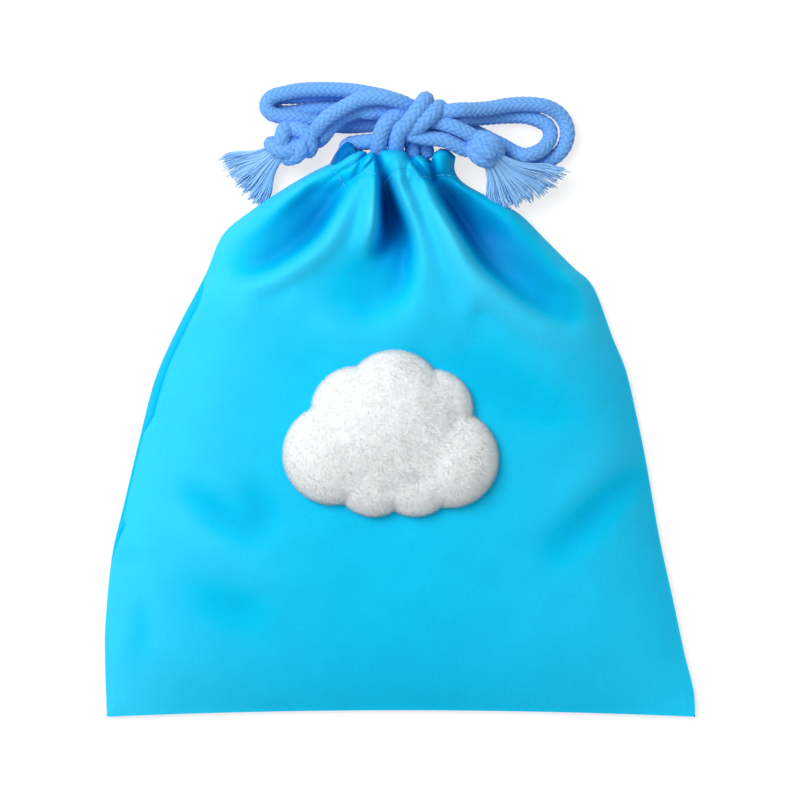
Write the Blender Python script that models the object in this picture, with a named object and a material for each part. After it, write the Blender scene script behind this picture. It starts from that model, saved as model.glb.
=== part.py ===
"""Kinchaku drawstring pouch, tied closed and lying on its back.

Units are metres, +Z up. The pouch rests on z = 0, its front faces +Z, its mouth points to +Y and its
width runs along X. The origin is under the middle of the bag. A tied bag can't be seen into, so the
front and back panels are one closed solid. The plush motif, the knots, the tassels and each strand of
the two drawcords are solids of their own, set a small gap apart.
"""

import math

import bmesh
import bpy
import numpy as np

# The bag
BAG_WIDTH = 0.2000        # along the bottom seam
BAG_HEIGHT = 0.1922       # from the bottom seam to the gathered top edge
BELLY_HEIGHT = 0.0215     # front of the bag over the floor, at its fullest
MOUTH_HEIGHT = 0.0150     # front of the gathered channel over the floor
SEAM_HEIGHT = 0.0016      # side and bottom seams over the floor
MOUTH_SEAM_HEIGHT = 0.0070  # seams over the floor where the mouth is gathered
EDGE_ROLL = 0.0200        # reach of the rise from a side seam to the belly
BOTTOM_ROLL = 0.0220      # reach of the rise from the bottom seam to the belly
BACK_ROLL = 0.0022        # reach of the rise from the flat back to a seam
HEM_ROLL = 0.0012         # reach of the rounding at the channel's folded top edge
BOTTOM_BOW = 0.0022       # the bottom seam's rise at its middle
LOBE_RISE = 0.0045        # a gathered lobe over the dip beside it
LOBE_REACH = 0.0260       # length of the lobes below the top edge
LOBE_STAND = 0.0016       # a lobe's top edge beyond the dip beside it
BACK_LOBE_RISE = 0.0030   # depth of the gathers on the back
CHANNEL_HEIGHT = 0.0095   # from the channel's stitches to its folded edge
STITCH_GROOVE = 0.0007    # depth of the stitched line under the channel
STITCH_WIDTH = 0.0011     # half width of that groove
GATHER_SPREAD = 2.2       # reach of the gathered mouth, in reaches of a lobe
MOUTH_TIGHTNESS = 0.35    # share of EDGE_ROLL that is lost at the gathered mouth
BOW_SHARE = 0.25          # share of the height over which the bottom's bow dies out
FLAT_BELOW = 0.00003      # a back nearer to the floor than this lies on it
LEAST_THICKNESS = 0.0004  # of the bag where a fold runs deep
COLUMNS = 50
ROWS = 46
COLUMN_CROWDING = 0.55    # how much closer the columns stand at the seams
ROW_CROWDING = 0.45
ROW_LEAN = 0.86           # below 1 puts more rows in the upper half
SEAM_SAMPLES = 240
CURVE_STEPS = 24          # between two points of a route

# The plush motif
MOTIF_CENTRE = (-0.0029, -0.0010)
MOTIF_RIM_HEIGHT = 0.0016  # the motif's sewn rim over the cloth
MOTIF_PUFF = 0.62          # height of a lobe as a share of its radius
MOTIF_RINGS = 10
MOTIF_SPOKES = 44
MOTIF_GAP = 0.0006
PUFF_BLEND = 6             # higher keeps the dips between the puffs sharper
OUTLINE_REACH = 0.05       # no part of the cloud's outline is further from its centre
OUTLINE_STEPS = 800
HEIGHT_ROUNDS = 30         # rounds of the search for the cloth's height at one place
HEIGHT_STEP = 0.8          # share of the error that one round takes away

# The cords
CORD_DIAMETER = 0.0048
CORD_POINT_SPACING = 2.0 * CORD_DIAMETER

# The side seams, bottom to top: x as a share of half BAG_WIDTH, y as a share of BAG_HEIGHT
LEFT_SEAM = [(-0.993, 0.0), (-0.999, 0.10), (-0.997, 0.169), (-0.975, 0.284), (-0.935, 0.374),
             (-0.881, 0.492), (-0.829, 0.595), (-0.755, 0.683), (-0.66, 0.778), (-0.60, 0.849),
             (-0.50, 0.893), (-0.383, 0.933), (-0.285, 0.962), (-0.21, 0.980), (-0.160, 0.996)]
RIGHT_SEAM = [(1.0, 0.0), (0.995, 0.045), (0.963, 0.113), (0.925, 0.206), (0.878, 0.318), (0.834, 0.448),
              (0.803, 0.527), (0.766, 0.609), (0.719, 0.670), (0.655, 0.757), (0.583, 0.794),
              (0.492, 0.841), (0.403, 0.886), (0.30, 0.915), (0.215, 0.940), (0.185, 0.962), (0.188, 0.986)]

# How the folds die out at their two ends
FOLD_SAMPLES = 40
FADE_START = 0.18          # share of the route
FADE_END = 0.30
FADE_POWER = 0.7

# The folds of the front: route in the same shares, half width and depth in metres (a dip is negative)
FRONT_FOLDS = [
    ("left hollow", [(-0.26, 0.945), (-0.27, 0.886), (-0.37, 0.824), (-0.49, 0.800)], 0.0085, -0.0062),
    ("left crest", [(-0.11, 0.975), (-0.12, 0.903), (-0.23, 0.855), (-0.34, 0.808), (-0.43, 0.773),
                    (-0.55, 0.757)], 0.0052, 0.0042),
    ("lobe crest", [(-0.11, 0.974), (-0.12, 0.912), (-0.15, 0.859)], 0.0042, 0.0022),
    ("centre valley", [(-0.03, 0.975), (-0.04, 0.882), (-0.03, 0.797), (-0.06, 0.715)], 0.0046, -0.0100),
    ("centre hollow", [(-0.24, 0.765), (-0.14, 0.748), (-0.05, 0.740)], 0.0110, -0.0032),
    ("centre crest", [(-0.25, 0.704), (-0.17, 0.681), (-0.09, 0.667), (-0.01, 0.681), (0.035, 0.730),
                      (0.06, 0.824)], 0.0050, 0.0024),
    ("band crest", [(0.08, 0.965), (0.125, 0.868), (0.14, 0.797), (0.16, 0.74)], 0.0062, 0.0040),
    ("right valley", [(0.12, 0.955), (0.19, 0.871), (0.255, 0.833), (0.35, 0.789), (0.47, 0.735)],
     0.0056, -0.0088),
    ("right crest", [(0.145, 0.880), (0.205, 0.824), (0.28, 0.770), (0.385, 0.722), (0.49, 0.690),
                     (0.61, 0.674)], 0.0048, 0.0030),
    ("right shoulder", [(0.21, 0.935), (0.31, 0.880), (0.44, 0.825), (0.56, 0.755)], 0.0110, 0.0040),
    ("left shoulder", [(-0.27, 0.950), (-0.39, 0.895), (-0.50, 0.850)], 0.0080, 0.0022),
    ("left wrinkle", [(-0.73, 0.401), (-0.63, 0.351), (-0.50, 0.310)], 0.0065, -0.0020),
    ("left wrinkle crest", [(-0.76, 0.360), (-0.64, 0.305), (-0.48, 0.262)], 0.0070, 0.0016),
    ("right wrinkle", [(0.80, 0.441), (0.68, 0.374), (0.49, 0.275)], 0.0075, -0.0024),
    ("right wrinkle crest", [(0.84, 0.500), (0.74, 0.440), (0.62, 0.380)], 0.0080, 0.0018),
]

# The gathered lobes across the mouth: middle and half width, as shares of the mouth's width
GATHER_LOBES = [(0.06, 0.11), (0.22, 0.075), (0.45, 0.165), (0.70, 0.095), (0.90, 0.115)]

# The cloud: its puffs' middles and radii, from the motif's centre
CLOUD_PUFFS = [((0.0005, 0.0035), 0.0225), ((-0.0195, -0.0060), 0.0165), ((0.0195, -0.0075), 0.0160),
               ((-0.0120, 0.0085), 0.0145), ((0.0140, 0.0090), 0.0130), ((-0.0060, -0.0135), 0.0130),
               ((0.0080, -0.0140), 0.0125), ((0.0010, 0.0120), 0.0165)]

# The knots: middle, half sizes, turn about Z in degrees, number of wraps
KNOTS = {
    "bow_knot": ((0.0044, 0.1064, 0.0098), (0.0142, 0.0094, 0.0095), 12.0, 3),
    "end_knot_left": ((-0.0364, 0.0965, 0.0066), (0.0080, 0.0060, 0.0063), 30.0, 2),
    "end_knot_right": ((0.0290, 0.0955, 0.0114), (0.0068, 0.0062, 0.0056), -25.0, 2),
}
KNOT_SPOKES = 26
KNOT_RINGS = 14
WRAP_DEPTH = 0.07
KNOT_END_POWER = 0.85      # below 1 makes blunter ends
KNOT_SIDE_POWER = 0.8      # below 1 makes fuller sides

# The tassels: root, directions of their two sides in degrees, lengths there, root and tip heights
TASSELS = {
    "tassel_left": ((-0.0437, 0.0925), (183.0, 250.0), (0.0176, 0.0132), 0.0052, 0.0018),
    "tassel_right": ((0.0345, 0.0903), (-4.0, -90.0), (0.0215, 0.0090), 0.0102, 0.0074),
}
TASSEL_ROOT_WIDTH = 0.0048
TASSEL_ROOT_THICKNESS = 0.0044
TASSEL_TIP_THICKNESS = 0.0026
TASSEL_TUFTS = 6
TUFT_DEPTH = 0.0011
TASSEL_STEPS = 5           # from the root to the tips
TASSEL_TUFT_STEPS = 4      # across one tuft
TASSEL_SIDE_FILL = 1.08    # above 1 leaves some thickness at the fan's two sides

# The cords' routes, hand-chosen points
CORD_ROUTES = {
    "exit_left_1": [(-0.0174, 0.0972, 0.0027), (-0.0152, 0.0978, 0.0028), (-0.0122, 0.0983, 0.0032),
                    (-0.0081, 0.0986, 0.0040)],
    "exit_left_2": [(-0.0174, 0.0974, 0.0081), (-0.0152, 0.0980, 0.0083), (-0.0122, 0.0984, 0.0088),
                    (-0.0098, 0.0986, 0.0094)],
    "loop_left_outer": [(-0.0104, 0.1146, 0.0104), (-0.0160, 0.1156, 0.0090), (-0.0220, 0.1160, 0.0082),
                        (-0.0281, 0.1161, 0.0079), (-0.0339, 0.1158, 0.0078), (-0.0392, 0.1148, 0.0077),
                        (-0.0428, 0.1138, 0.0077), (-0.0448, 0.1118, 0.0077), (-0.0449, 0.1096, 0.0077),
                        (-0.0432, 0.1078, 0.0077), (-0.0398, 0.1069, 0.0076), (-0.0346, 0.1064, 0.0072), (-0.0290, 0.1052, 0.0056),
                        (-0.0235, 0.1044, 0.0028), (-0.0180, 0.1039, 0.0027), (-0.0112, 0.1042, 0.0030)],
    "loop_left_inner": [(-0.0108, 0.1124, 0.0042), (-0.0165, 0.1142, 0.0028), (-0.0220, 0.1148, 0.0026),
                        (-0.0281, 0.1146, 0.0026), (-0.0339, 0.1140, 0.0026), (-0.0388, 0.1136, 0.0026),
                        (-0.0408, 0.1128, 0.0026), (-0.0416, 0.1112, 0.0026), (-0.0408, 0.1096, 0.0026),
                        (-0.0388, 0.1088, 0.0026), (-0.0350, 0.1089, 0.0026),
                        (-0.0310, 0.1092, 0.0026), (-0.0255, 0.1099, 0.0026), (-0.0200, 0.1098, 0.0026),
                        (-0.0155, 0.1092, 0.0027)],
    "tail_left_upper": [(-0.0085, 0.1104, 0.0176), (-0.0125, 0.1112, 0.0174), (-0.0165, 0.1104, 0.0168),
                        (-0.0205, 0.1087, 0.0165), (-0.0240, 0.1065, 0.0164), (-0.0265, 0.1044, 0.0147),
                        (-0.0282, 0.1024, 0.0116)],
    "tail_left_lower": [(-0.0108, 0.1080, 0.0118), (-0.0135, 0.1088, 0.0116), (-0.0172, 0.1078, 0.0110),
                        (-0.0205, 0.1060, 0.0106), (-0.0232, 0.1034, 0.0102), (-0.0252, 0.1010, 0.0088),
                        (-0.0267, 0.0994, 0.0062)],
    "loop_right_outer": [(0.0196, 0.1088, 0.0150), (0.0244, 0.1090, 0.0124), (0.0302, 0.1096, 0.0094),
                         (0.0363, 0.1108, 0.0074), (0.0424, 0.1112, 0.0064), (0.0484, 0.1107, 0.0052),
                         (0.0526, 0.1090, 0.0036), (0.0553, 0.1063, 0.0026), (0.0566, 0.1030, 0.0026),
                         (0.0565, 0.0995, 0.0026), (0.0549, 0.0959, 0.0026), (0.0518, 0.0931, 0.0026),
                         (0.0478, 0.0913, 0.0026), (0.0430, 0.0908, 0.0026), (0.0370, 0.0914, 0.0026),
                         (0.0310, 0.0930, 0.0026), (0.0256, 0.0954, 0.0026), (0.0215, 0.0976, 0.0026),
                         (0.0178, 0.0996, 0.0028)],
    "loop_right_inner": [(0.0200, 0.1058, 0.0104), (0.0244, 0.1062, 0.0074), (0.0302, 0.1068, 0.0042),
                         (0.0363, 0.1073, 0.0026), (0.0424, 0.1072, 0.0026), (0.0466, 0.1060, 0.0026),
                         (0.0499, 0.1040, 0.0026), (0.0509, 0.1012, 0.0030), (0.0500, 0.0982, 0.0048),
                         (0.0470, 0.0953, 0.0068), (0.0424, 0.0938, 0.0078), (0.0388, 0.0949, 0.0064),
                         (0.0352, 0.0971, 0.0038), (0.0318, 0.0988, 0.0026), (0.0270, 0.1012, 0.0028),
                         (0.0225, 0.1034, 0.0038), (0.0200, 0.1044, 0.0046)],
    "tail_right_upper": [(0.0176, 0.1033, 0.0150), (0.0200, 0.1023, 0.0148), (0.0236, 0.1006, 0.0140)],
    "tail_right_lower": [(0.0142, 0.0988, 0.0142), (0.0170, 0.0978, 0.0138), (0.0212, 0.0959, 0.0124)],
}

# Colours, as linear red, green and blue
CLOTH_BLUE = (0.012, 0.512, 0.880)
CORD_BLUE = (0.105, 0.300, 0.760)
PLUSH_WHITE = (0.840, 0.845, 0.830)
CLOTH_ROUGHNESS = 0.55
PLUSH_ROUGHNESS = 0.95
CORD_ROUGHNESS = 0.85


def clear_scene():
    """Removes every object that the start-up file brought."""
    for thing in list(bpy.data.objects):
        bpy.data.objects.remove(thing, do_unlink=True)


def material(name, colour, roughness):
    """One plain Principled finish."""
    finish = bpy.data.materials.new(name)
    finish.use_nodes = True
    shader = finish.node_tree.nodes["Principled BSDF"]
    shader.inputs["Base Color"].default_value = (*colour, 1.0)
    shader.inputs["Roughness"].default_value = roughness
    shader.inputs["Metallic"].default_value = 0.0
    return finish


def link(name, data, finish):
    """Puts mesh or curve data into the scene as a named sub-part."""
    part = bpy.data.objects.new(name, data)
    part.data.materials.append(finish)
    bpy.context.scene.collection.objects.link(part)
    return part


def mesh_part(name, points, faces, finish):
    """A sub-part from points and faces, shaded smooth."""
    mesh = bpy.data.meshes.new(name)
    mesh.from_pydata([tuple(p) for p in points], [], faces)
    mesh.update()
    mesh.shade_smooth()
    return link(name, mesh, finish)


def smooth_route(points, count):
    """Points at even steps along a smooth curve through the given points."""
    route = np.asarray(points, float)
    before = 2 * route[0] - route[1]
    after = 2 * route[-1] - route[-2]
    knots = np.vstack([before, route, after])
    fine = []
    for i in range(1, len(knots) - 2):
        a, b, c, d = knots[i - 1:i + 3]
        for t in np.linspace(0, 1, CURVE_STEPS, endpoint=False):
            fine.append(0.5 * (2 * b + (c - a) * t + (2 * a - 5 * b + 4 * c - d) * t ** 2
                               + (3 * b - a - 3 * c + d) * t ** 3))
    fine.append(route[-1])
    fine = np.array(fine)
    run = np.concatenate([[0], np.cumsum(np.linalg.norm(np.diff(fine, axis=0), axis=1))])
    steps = np.linspace(0, run[-1], count)
    return np.stack([np.interp(steps, run, fine[:, k]) for k in range(fine.shape[1])], axis=1)


def route_length(points):
    """Length of the smooth curve through the points."""
    fine = smooth_route(points, SEAM_SAMPLES)
    return float(np.linalg.norm(np.diff(fine, axis=0), axis=1).sum())


def from_shares(points):
    """Panel shares as x and y in metres."""
    shares = np.asarray(points, float)
    return np.stack([shares[:, 0] * BAG_WIDTH / 2, (shares[:, 1] - 0.5) * BAG_HEIGHT], axis=1)


LEFT_LINE = smooth_route(from_shares(LEFT_SEAM), SEAM_SAMPLES)
RIGHT_LINE = smooth_route(from_shares(RIGHT_SEAM), SEAM_SAMPLES)
FOLD_LINES = [smooth_route(from_shares(route), FOLD_SAMPLES) for _, route, _, _ in FRONT_FOLDS]


def along(line, v):
    """x and y on a seam at the share v of its length."""
    steps = np.linspace(0, 1, len(line))
    return np.interp(v, steps, line[:, 0]), np.interp(v, steps, line[:, 1])


def lobes(u):
    """1 on top of each gathered lobe, 0 in the dips between them."""
    height = np.zeros_like(u)
    for middle, half in GATHER_LOBES:
        reach = np.clip(np.abs(u - middle) / half, 0, 1)
        height = np.maximum(height, np.cos(reach * math.pi / 2))
    return height


def fall_off(distance, reach):
    """1 at no distance, 0 beyond the reach, smooth between."""
    share = np.clip(distance / reach, 0, 1)
    return 1 - share * share * (3 - 2 * share)


def rise(distance, reach):
    """0 at a seam, near 1 a few reaches away."""
    return 1 - np.exp(-distance / reach)


def panel_point(u, v):
    """x and y of the panel point at u across and v up, with the width of its row."""
    left_x, left_y = along(LEFT_LINE, v)
    right_x, right_y = along(RIGHT_LINE, v)
    x = left_x + (right_x - left_x) * u
    y = left_y + (right_y - left_y) * u
    crown = 4 * u * (1 - u)
    top = fall_off((1 - v) * BAG_HEIGHT, CHANNEL_HEIGHT)
    y = y + BOTTOM_BOW * crown * fall_off(v, BOW_SHARE) + LOBE_STAND * (lobes(u) - 0.5) * top * crown
    return x, y, right_x - left_x


def fold_height(x, y):
    """Height that the folds add to the front at x and y."""
    height = np.zeros_like(x)
    for (_, _, half_width, depth), line in zip(FRONT_FOLDS, FOLD_LINES):
        gap_x = x[..., None] - line[:, 0]
        gap_y = y[..., None] - line[:, 1]
        distance = np.sqrt(gap_x ** 2 + gap_y ** 2)
        nearest = distance.argmin(axis=-1)
        t = nearest / (len(line) - 1)
        fade = np.clip(t / FADE_START, 0, 1) * np.clip((1 - t) / FADE_END, 0, 1)
        height += depth * np.exp(-(distance.min(axis=-1) / half_width) ** 2) * fade ** FADE_POWER
    return height


def cloth_heights(u, v):
    """Heights of the front and of the back at u across and v up."""
    x, y, width = panel_point(u, v)
    from_top = (1 - v) * BAG_HEIGHT
    gathered = fall_off(from_top, GATHER_SPREAD * LOBE_REACH)
    narrow = width / BAG_WIDTH
    side_roll = EDGE_ROLL * narrow * (1 - MOUTH_TIGHTNESS * gathered)
    sides = rise(u * width, side_roll) * rise((1 - u) * width, side_roll)
    hem = rise(from_top, HEM_ROLL)
    seam = SEAM_HEIGHT + (MOUTH_SEAM_HEIGHT - SEAM_HEIGHT) * gathered
    belly = BELLY_HEIGHT + (MOUTH_HEIGHT - BELLY_HEIGHT) * gathered
    lobe = lobes(u)
    front = belly + fold_height(x, y) + LOBE_RISE * lobe * fall_off(from_top, LOBE_REACH)
    groove = STITCH_GROOVE * np.exp(-((from_top - CHANNEL_HEIGHT) / STITCH_WIDTH) ** 2)
    front = seam + (front - groove - seam) * sides * rise(v * BAG_HEIGHT, BOTTOM_ROLL) * hem
    back_rise = (rise(u * width, BACK_ROLL) * rise((1 - u) * width, BACK_ROLL)
                 * rise(v * BAG_HEIGHT, BACK_ROLL) * hem)
    back_full = BACK_LOBE_RISE * (1 - lobe) * fall_off(from_top, LOBE_REACH)
    back = np.maximum(seam + (back_full - seam) * back_rise, 0)
    back = np.where(back < FLAT_BELOW, 0.0, back)
    return x, y, front, back


def graded(count, crowding):
    """Shares from 0 to 1, closer together at both ends."""
    t = np.linspace(0, 1, count)
    return t - crowding * np.sin(2 * math.pi * t) / (2 * math.pi)


def build_bag(finish):
    """The bag: a front and a back surface that meet along the seams and the folded top edge."""
    u, v = np.meshgrid(graded(COLUMNS + 1, COLUMN_CROWDING), graded(ROWS + 1, ROW_CROWDING) ** ROW_LEAN)
    x, y, front, back = cloth_heights(u, v)
    rim = np.zeros(u.shape, bool)
    rim[0, :] = rim[-1, :] = rim[:, 0] = rim[:, -1] = True
    points = [(x[j, i], y[j, i], front[j, i]) for j in range(ROWS + 1) for i in range(COLUMNS + 1)]
    front_index = np.arange(len(points)).reshape(u.shape)
    back_index = front_index.copy()
    for j in range(ROWS + 1):
        for i in range(COLUMNS + 1):
            if not rim[j, i]:
                back_index[j, i] = len(points)
                points.append((x[j, i], y[j, i], min(back[j, i], front[j, i] - LEAST_THICKNESS)))
    faces = []
    for j in range(ROWS):
        for i in range(COLUMNS):
            faces.append([front_index[j, i], front_index[j, i + 1], front_index[j + 1, i + 1],
                          front_index[j + 1, i]])
            faces.append([back_index[j, i], back_index[j + 1, i], back_index[j + 1, i + 1],
                          back_index[j, i + 1]])
    faces = [[int(k) for k in face] for face in faces]
    bag = mesh_part("pouch_bag", points, faces, finish)
    flatten_underside(bag.data)
    return bag


def flatten_underside(mesh):
    """Makes one face of the part of the back that lies flat."""
    work = bmesh.new()
    work.from_mesh(mesh)
    flat = [face for face in work.faces if all(vert.co.z == 0 for vert in face.verts)]
    bmesh.ops.dissolve_faces(work, faces=flat, use_verts=True)
    work.to_mesh(mesh)
    work.free()


def puff_height(x, y):
    """Height of the cloud over its rim at x and y from its centre, 0 outside."""
    total = np.zeros_like(x)
    for (middle_x, middle_y), radius in CLOUD_PUFFS:
        away = (x - middle_x) ** 2 + (y - middle_y) ** 2
        cap = MOTIF_PUFF * np.sqrt(np.clip(radius ** 2 - away, 0, None))
        total = total + cap ** PUFF_BLEND
    return total ** (1 / PUFF_BLEND)


def cloud_reach(angle):
    """Distance from the cloud's centre to its outline at an angle."""
    steps = np.linspace(0, OUTLINE_REACH, OUTLINE_STEPS)
    inside = np.zeros(len(steps), bool)
    for (middle_x, middle_y), radius in CLOUD_PUFFS:
        gap_x = steps * math.cos(angle) - middle_x
        gap_y = steps * math.sin(angle) - middle_y
        inside |= gap_x ** 2 + gap_y ** 2 < radius ** 2
    return float(steps[inside].max())


def front_height(x, y):
    """Height of the bag's front at x and y, found on the panel's own grid."""
    v = (y / BAG_HEIGHT) + 0.5
    u = 0.5
    for _ in range(HEIGHT_ROUNDS):
        at_x, at_y, width = panel_point(np.array([u]), np.array([v]))
        u = min(max(u + (x - at_x[0]) / width[0], 0), 1)
        v = min(max(v + HEIGHT_STEP * (y - at_y[0]) / BAG_HEIGHT, 0), 1)
    return float(cloth_heights(np.array([u]), np.array([v]))[2][0])


def build_motif(finish):
    """The plush cloud, puffed over a rim that follows the cloth under it."""
    points = []
    angles = [2 * math.pi * k / MOTIF_SPOKES for k in range(MOTIF_SPOKES)]
    reaches = [cloud_reach(a) for a in angles]
    spread = np.sin(np.linspace(0, 1, MOTIF_RINGS + 1) * math.pi / 2)
    centre_x, centre_y = MOTIF_CENTRE
    for layer in ("top", "base"):
        for ring in range(MOTIF_RINGS + 1 if layer == "top" else MOTIF_RINGS):
            for a, reach in zip(angles, reaches):
                if ring == 0 and a != 0:
                    continue
                x = spread[ring] * reach * math.cos(a)
                y = spread[ring] * reach * math.sin(a)
                base = front_height(centre_x + x, centre_y + y) + MOTIF_GAP
                z = base
                if layer == "top":
                    z = base + MOTIF_RIM_HEIGHT + float(puff_height(np.array([x]), np.array([y]))[0])
                    if ring == MOTIF_RINGS:
                        z = base + MOTIF_RIM_HEIGHT / 2
                points.append((centre_x + x, centre_y + y, z))
    n = MOTIF_SPOKES

    def ring_start(layer, ring):
        if layer == "base" and ring < MOTIF_RINGS:
            return 1 + n * MOTIF_RINGS + (0 if ring == 0 else 1 + n * (ring - 1))
        return 0 if ring == 0 else 1 + n * (ring - 1)

    faces = []
    for layer in ("top", "base"):
        for ring in range(MOTIF_RINGS):
            inner, outer = ring_start(layer, ring), ring_start(layer, ring + 1)
            for k in range(n):
                m = (k + 1) % n
                if ring == 0:
                    face = [inner, outer + k, outer + m]
                else:
                    face = [inner + k, outer + k, outer + m, inner + m]
                faces.append(face if layer == "top" else face[::-1])
    return mesh_part("plush_motif", points, faces, finish)


def build_knot(name, finish):
    """The outer shape of a tied knot, with a shallow dip between its wraps."""
    middle, half, turn, wraps = KNOTS[name]
    points = []
    for ring in range(KNOT_RINGS + 1):
        polar = math.pi * ring / KNOT_RINGS
        for k in range(KNOT_SPOKES if 0 < ring < KNOT_RINGS else 1):
            around = 2 * math.pi * k / KNOT_SPOKES
            along_share = -math.cos(polar)
            dip = 1 - WRAP_DEPTH * (0.5 + 0.5 * math.cos(2 * math.pi * wraps * (along_share + 1) / 2))
            x = half[0] * math.copysign(abs(along_share) ** KNOT_END_POWER, along_share)
            girth = math.sin(polar) ** KNOT_SIDE_POWER * dip
            y = half[1] * girth * math.cos(around)
            z = half[2] * girth * math.sin(around)
            points.append((x, y, z))
    turn = math.radians(turn)
    points = [(middle[0] + x * math.cos(turn) - y * math.sin(turn),
               middle[1] + x * math.sin(turn) + y * math.cos(turn), middle[2] + z) for x, y, z in points]
    n = KNOT_SPOKES
    faces = []
    for k in range(n):
        m = (k + 1) % n
        faces.append([0, 1 + m, 1 + k])
        for ring in range(KNOT_RINGS - 2):
            low, high = 1 + ring * n, 1 + (ring + 1) * n
            faces.append([low + k, low + m, high + m, high + k])
        last = 1 + (KNOT_RINGS - 2) * n
        faces.append([last + k, last + m, len(points) - 1])
    return mesh_part(name, points, faces, finish)


def build_tassel(name, finish):
    """A fan of frayed cord ends: thick at its root, thin and tufted at its tips."""
    (root_x, root_y), sides, lengths, root_z, tip_z = TASSELS[name]
    heading = math.radians(sum(sides) / 2)
    turn = math.copysign(1, sides[1] - sides[0])
    steps, across = TASSEL_STEPS, TASSEL_TUFT_STEPS * TASSEL_TUFTS
    points = []
    for j in range(steps + 1):
        s = j / steps
        for i in range(across + 1):
            share = i / across
            w = 2 * share - 1
            tuft = math.cos(2 * math.pi * TASSEL_TUFTS * share) * TUFT_DEPTH * s
            angle = math.radians(sides[0] + (sides[1] - sides[0]) * share)
            start_x = root_x - turn * math.sin(heading) * w * TASSEL_ROOT_WIDTH / 2
            start_y = root_y + turn * math.cos(heading) * w * TASSEL_ROOT_WIDTH / 2
            reach = s * (lengths[0] + (lengths[1] - lengths[0]) * share + tuft)
            half = (TASSEL_ROOT_THICKNESS + (TASSEL_TIP_THICKNESS - TASSEL_ROOT_THICKNESS) * s) / 2
            half *= math.sqrt(TASSEL_SIDE_FILL - w * w)
            middle = root_z + (tip_z - root_z) * s
            x, y = start_x + reach * math.cos(angle), start_y + reach * math.sin(angle)
            points.append((x, y, middle + half))
            points.append((x, y, middle - half))

    def corner(j, i, side):
        return 2 * (j * (across + 1) + i) + side

    faces = []
    for j in range(steps):
        for i in range(across):
            for side in (0, 1):
                face = [corner(j, i, side), corner(j + 1, i, side), corner(j + 1, i + 1, side),
                        corner(j, i + 1, side)]
                faces.append(face if side == 0 else face[::-1])
        faces.append([corner(j, 0, 0), corner(j, 0, 1), corner(j + 1, 0, 1), corner(j + 1, 0, 0)])
        faces.append([corner(j, across, 0), corner(j + 1, across, 0), corner(j + 1, across, 1),
                      corner(j, across, 1)])
    for i in range(across):
        faces.append([corner(0, i, 0), corner(0, i + 1, 0), corner(0, i + 1, 1), corner(0, i, 1)])
        faces.append([corner(steps, i, 0), corner(steps, i, 1), corner(steps, i + 1, 1),
                      corner(steps, i + 1, 0)])
    if turn < 0:
        faces = [face[::-1] for face in faces]
    return mesh_part(name, points, faces, finish)


def build_cord(name, finish):
    """One strand of a drawcord: a round tube along a smooth curve through its route."""
    route = CORD_ROUTES[name]
    count = max(3, math.ceil(route_length(route) / CORD_POINT_SPACING) + 1)
    curve = bpy.data.curves.new(name, "CURVE")
    curve.dimensions = "3D"
    curve.bevel_depth = CORD_DIAMETER / 2
    curve.bevel_resolution = 2
    curve.resolution_u = 1
    curve.render_resolution_u = 0
    curve.use_fill_caps = True
    spline = curve.splines.new("POLY")
    spline.points.add(count - 1)
    for point, place in zip(spline.points, smooth_route(route, count)):
        point.co = (*place, 1.0)
    return link(name, curve, finish)


def main():
    """Builds every sub-part of the pouch."""
    clear_scene()
    cloth = material("polyester_cloth", CLOTH_BLUE, CLOTH_ROUGHNESS)
    plush = material("white_plush", PLUSH_WHITE, PLUSH_ROUGHNESS)
    cord = material("braided_cord", CORD_BLUE, CORD_ROUGHNESS)
    build_bag(cloth)
    build_motif(plush)
    for name in KNOTS:
        build_knot(name, cord)
    for name in TASSELS:
        build_tassel(name, cord)
    for name in CORD_ROUTES:
        build_cord(name, cord)


main()
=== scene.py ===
"""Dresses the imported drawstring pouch: gathered polyester cloth, braided cords tied in a bow, a plush cloud.

Units are metres in the frame of the CAD: +Z up, the pouch on its back on z = 0, its mouth towards +Y.
Tables that are marked so are in millimetres.
"""

import math

import bpy
import numpy as np
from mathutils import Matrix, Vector


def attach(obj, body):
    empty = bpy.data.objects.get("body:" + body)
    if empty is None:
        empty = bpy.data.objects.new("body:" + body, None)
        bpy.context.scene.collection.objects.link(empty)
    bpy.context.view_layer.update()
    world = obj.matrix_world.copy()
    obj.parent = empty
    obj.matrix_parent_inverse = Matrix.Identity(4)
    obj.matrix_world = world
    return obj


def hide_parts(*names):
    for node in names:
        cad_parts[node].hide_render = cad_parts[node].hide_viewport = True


bl_info = {
    "name": "Drawstring pouch dressing",
    "version": (1, 0, 0),
    "blender": (4, 5, 0),
    "location": "View3D > Sidebar > Pouch",
    "description": "Makes the cloth, cords, knots, tassels and plush cloud of a tied drawstring pouch",
    "category": "Object",
}

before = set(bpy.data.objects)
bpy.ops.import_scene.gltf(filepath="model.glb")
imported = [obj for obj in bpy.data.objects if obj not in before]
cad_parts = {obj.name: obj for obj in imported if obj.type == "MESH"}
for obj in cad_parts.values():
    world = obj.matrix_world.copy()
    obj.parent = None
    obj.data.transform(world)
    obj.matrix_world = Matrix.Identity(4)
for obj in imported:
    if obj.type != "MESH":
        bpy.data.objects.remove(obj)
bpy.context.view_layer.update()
MM = 0.001

# The camera looks straight down from far enough for the picture to be nearly flat
PICTURE_WIDTH = 0.2712
PICTURE_MIDDLE = (0.0, 0.0112)
CAMERA_HEIGHT = 2.0
SENSOR_WIDTH = 36.0

# The cords
CORD_DIAMETER = 0.0048
STRAND_PLUMPNESS = 1.09

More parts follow.
